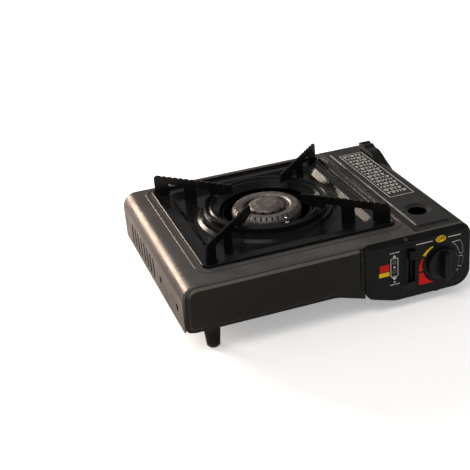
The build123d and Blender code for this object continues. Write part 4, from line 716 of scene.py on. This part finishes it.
def word(name, text, center, cap_height, material):
    """Generic wording laid on the control panel, from Blender's own font."""
    curve = bpy.data.curves.new(name, "FONT")
    curve.body = text
    curve.align_x = "CENTER"
    curve.align_y = "CENTER"
    curve.size = cap_height * MM / CAP_SHARE
    curve.extrude = (INK_THICKNESS + INK_SINK) / 2
    curve.offset = LETTER_WEIGHT
    letters = bpy.data.objects.new(name + "_curve", curve)
    bpy.context.scene.collection.objects.link(letters)
    graph = bpy.context.evaluated_depsgraph_get()
    mesh = bpy.data.meshes.new_from_object(letters.evaluated_get(graph))
    bpy.data.objects.remove(letters)
    upright = Matrix.Rotation(pi / 2, 4, "X")
    place = Vector(on_panel(center[0], center[1], INK_THICKNESS))
    mesh.transform(Matrix.Translation(place) @ upright)
    mesh.materials.clear()
    new_object(name, mesh, material, "housing")


def knob_arc(start, end, steps=18):
    """Points from one (radius, angle) to another round the knob; either may change on the way."""
    cx, cz = KNOB_CENTER
    points = []
    for i in range(steps + 1):
        radius, angle = (a + (b - a) * i / steps for a, b in zip(start, end))
        points.append((cx + radius * cos(radians(angle)), cz + radius * sin(radians(angle))))
    return points


def fan(outer_start, outer_end, inner_end, inner_start):
    """Four-cornered patch round the knob; each corner is a (radius, angle)."""
    return knob_arc(outer_start, outer_end) + knob_arc(inner_end, inner_start)


def yellow_marks():
    """The OFF field, the first part of the scale and the lower block."""
    return [
        ellipse(OFF_CENTER, OFF_HALF_WIDTH, OFF_HALF_HEIGHT),
        fan((25.8, 117), (28.0, 150), (24.4, 150), (24.4, 117)),
        box_shape(54.6, 45.6, BLOCKS_RIGHT, 50.8),
    ]


def red_marks():
    """The scale's middle part, the corner patch at its end and the upper block."""
    rim = knob_arc((SCALE_INNER, 246), (SCALE_INNER, 198), 12)
    return [
        fan((26.6, 157), (29.6, 191), (SCALE_INNER, 191), (SCALE_INNER, 157)),
        [(CORNER_LEFT, CORNER_LOW), (CORNER_RIGHT, CORNER_LOW)] + rim + [(CORNER_LEFT, CORNER_HIGH)],
        box_shape(55.8, 52.0, BLOCKS_RIGHT, 60.2),
    ]


def white_rules():
    """Rules on both sides of OFF, and the outlined part of the scale."""
    strips = stroke([(100.0, 76.5), (120.5, 76.5)], RULE_WIDTH)
    strips += stroke([(141.0, 76.9), (156.0, 76.9)], RULE_WIDTH)
    for corners in (
        ((27.1, 12), (32.2, 45), (25.5, 61), (23.0, 15)),
        ((27.3, -24), (26.7, 5), (22.0, 7), (22.5, -27)),
        ((24.4, -60), (25.8, -33), (23.3, -40), (23.6, -60)),
    ):
        strips += stroke(fan(*corners), LINE_WIDTH, closed=True)
    return strips


def lever_diagram():
    """A long box with arrow heads and a dot outside, and signs inside."""
    low, high = DIAGRAM_LOW, DIAGRAM_HIGH
    middle = (DIAGRAM_LEFT + DIAGRAM_RIGHT) / 2
    shapes = stroke(box_shape(DIAGRAM_LEFT, low, DIAGRAM_RIGHT, high), LINE_WIDTH, closed=True)
    shapes += [
        [(middle - 1.8, high + 1.2), (middle + 1.8, high + 1.2), (middle, high + 4.4)],
        [(middle - 3.0, low - 1.2), (middle, low - 4.8), (middle + 3.0, low - 1.2)],
        ellipse((middle, low - 7.2), 0.9, 0.9, 16),
        [(middle - 1.5, 53.8), (middle + 1.5, 53.8), (middle, 56.8)],
    ]
    for z in (49.4, 61.0):
        shapes += stroke(ellipse((middle, z), 1.9, 1.9, 16), 0.5, closed=True)
    return shapes


def caption_marks():
    """Rows of short plain bars where small captions would be, and an outline on the red block."""
    shapes = []
    for row_z in (DIAGRAM_HIGH + 6.4, DIAGRAM_LOW - 10.8):
        shapes += [box_shape(x, row_z, x + 1.3, row_z + 1.1) for x in CAPTION_BARS]
    return shapes + stroke(box_shape(58.4, 54.2, 64.8, 58.0), 0.3, closed=True)


def mark_control_panel():
    white = white_rules() + lever_diagram() + caption_marks()
    print_marks("panel_print_yellow", yellow_marks(), on_panel, YELLOW_INK, "housing")
    print_marks("panel_print_red", red_marks(), on_panel, RED_INK, "housing")
    print_marks("panel_print_white", white, on_panel, WHITE_INK, "housing")


def mark_lid():
    """Plain outlined block with rows of short bars, which say nothing."""
    left, right = LID_PRINT_LEFT, LID_PRINT_RIGHT
    front, back = LID_PRINT_FRONT, LID_PRINT_BACK
    margin, gap = 3.0, 1.2
    bar_height, small_bar_height, small_bar_drop = 1.3, 1.1, 3.2
    shortest, longest = 2.0, 7.0
    row_pitch = (back - front - 10.0) / LID_PRINT_ROWS
    white = stroke(box_shape(left, front, right, back), LINE_WIDTH, closed=True)
    seed = 7
    for row in range(LID_PRINT_ROWS):
        y = back - 2 * margin - row * row_pitch
        small_y = y - small_bar_drop
        x = left + margin
        while x < right - margin - shortest:
            seed = (seed * 37 + 11) % 101
            length = shortest + (longest - shortest) * seed / 101
            end = min(x + length, right - margin)
            small_end = max(x + 0.8, end - 1.5)
            white.append(box_shape(x, y, end, y + bar_height))
            white.append(box_shape(x, small_y, small_end, small_y + small_bar_height))
            x = end + gap
    print_marks("lid_print_white", white, on_lid, WHITE_INK, "lid")


# ---------------------------------------------------------------- stage, light and camera
FLOOR_REACH = 40.0
FLOOR_TONE = 0.86
FLOOR_GLOW = 0.35
WORLD_STRENGTH = 0.42
LIT_POINT = (0.0, 0.0, 0.06)
LENS_MM = 75.7
SENSOR_MM = 36.0
CAMERA_PLACE = Vector((-0.3676, -1.0058, 0.5897))
CAMERA_RIGHT = Vector((0.9428, -0.3233, -0.0811))
CAMERA_UP = Vector((0.2132, 0.3980, 0.8922))


def emission_share(tree, strength):
    """1 for camera, glossy and transmission rays, as a factor times a strength."""
    path = tree.nodes.new("ShaderNodeLightPath")
    total = path.outputs["Is Camera Ray"]
    for name in ("Is Glossy Ray", "Is Transmission Ray"):
        add = tree.nodes.new("ShaderNodeMath")
        add.operation = "MAXIMUM"
        tree.links.new(total, add.inputs[0])
        tree.links.new(path.outputs[name], add.inputs[1])
        total = add.outputs["Value"]
    scale = tree.nodes.new("ShaderNodeMath")
    scale.operation = "MULTIPLY"
    scale.inputs[1].default_value = strength
    tree.links.new(total, scale.inputs[0])
    return scale.outputs["Value"]


def make_floor():
    mesh = bpy.data.meshes.new("floor")
    corners = [(x * FLOOR_REACH, y * FLOOR_REACH, 0) for x, y in ((-1, -1), (1, -1), (1, 1), (-1, 1))]
    mesh.from_pydata(corners, [], [(0, 1, 2, 3)])
    floor = bpy.data.objects.new("floor", mesh)
    bpy.context.scene.collection.objects.link(floor)
    material = bpy.data.materials.new("floor")
    material.use_nodes = True
    shader = material.node_tree.nodes["Principled BSDF"]
    shader.inputs["Base Color"].default_value = (FLOOR_TONE, FLOOR_TONE, FLOOR_TONE, 1)
    shader.inputs["Roughness"].default_value = 0.9
    shader.inputs["Specular IOR Level"].default_value = 0.1
    shader.inputs["Emission Color"].default_value = (1, 1, 1, 1)
    material.node_tree.links.new(
        emission_share(material.node_tree, FLOOR_GLOW), shader.inputs["Emission Strength"]
    )
    mesh.materials.append(material)


def make_world():
    world = bpy.data.worlds.new("studio")
    bpy.context.scene.world = world
    world.use_nodes = True
    background = world.node_tree.nodes["Background"]
    background.inputs["Color"].default_value = (1.0, 0.98, 0.96, 1)
    background.inputs["Strength"].default_value = WORLD_STRENGTH


def area_light(name, place, size, power, color):
    """Rectangular lamp that faces the stove."""
    light = bpy.data.lights.new(name, "AREA")
    light.shape = "RECTANGLE"
    light.size, light.size_y = size
    light.energy = power
    light.color = color
    lamp = bpy.data.objects.new(name, light)
    lamp.location = place
    lamp.rotation_euler = (Vector(LIT_POINT) - Vector(place)).to_track_quat("-Z", "Y").to_euler()
    bpy.context.scene.collection.objects.link(lamp)


def make_lights():
    area_light("key", (-0.9, -0.7, 2.0), (1.2, 1.2), 20, (1.0, 0.97, 0.94))
    area_light("back_left", (-1.05, 1.75, 0.66), (1.1, 0.6), 75, (1.0, 0.85, 0.72))


def make_camera():
    back = CAMERA_RIGHT.cross(CAMERA_UP)
    camera = bpy.data.cameras.new("camera")
    camera.sensor_width = SENSOR_MM
    camera.lens = LENS_MM
    camera.clip_start = 0.05
    rig = bpy.data.objects.new("camera", camera)
    rotation = Matrix((CAMERA_RIGHT, CAMERA_UP, back)).transposed().to_4x4()
    rig.matrix_world = Matrix.Translation(CAMERA_PLACE) @ rotation
    bpy.context.scene.collection.objects.link(rig)
    bpy.context.scene.camera = rig


# ---------------------------------------------------------------- build
dress_cad_nodes()
soften_edges()
make_screws()
mark_control_panel()
word("panel_word_off", "OFF", OFF_CENTER, OFF_LETTERS, BLACK_INK)
mark_lid()
make_floor()
make_world()
make_lights()
make_camera()
bpy.context.scene.view_settings.view_transform = "Standard"
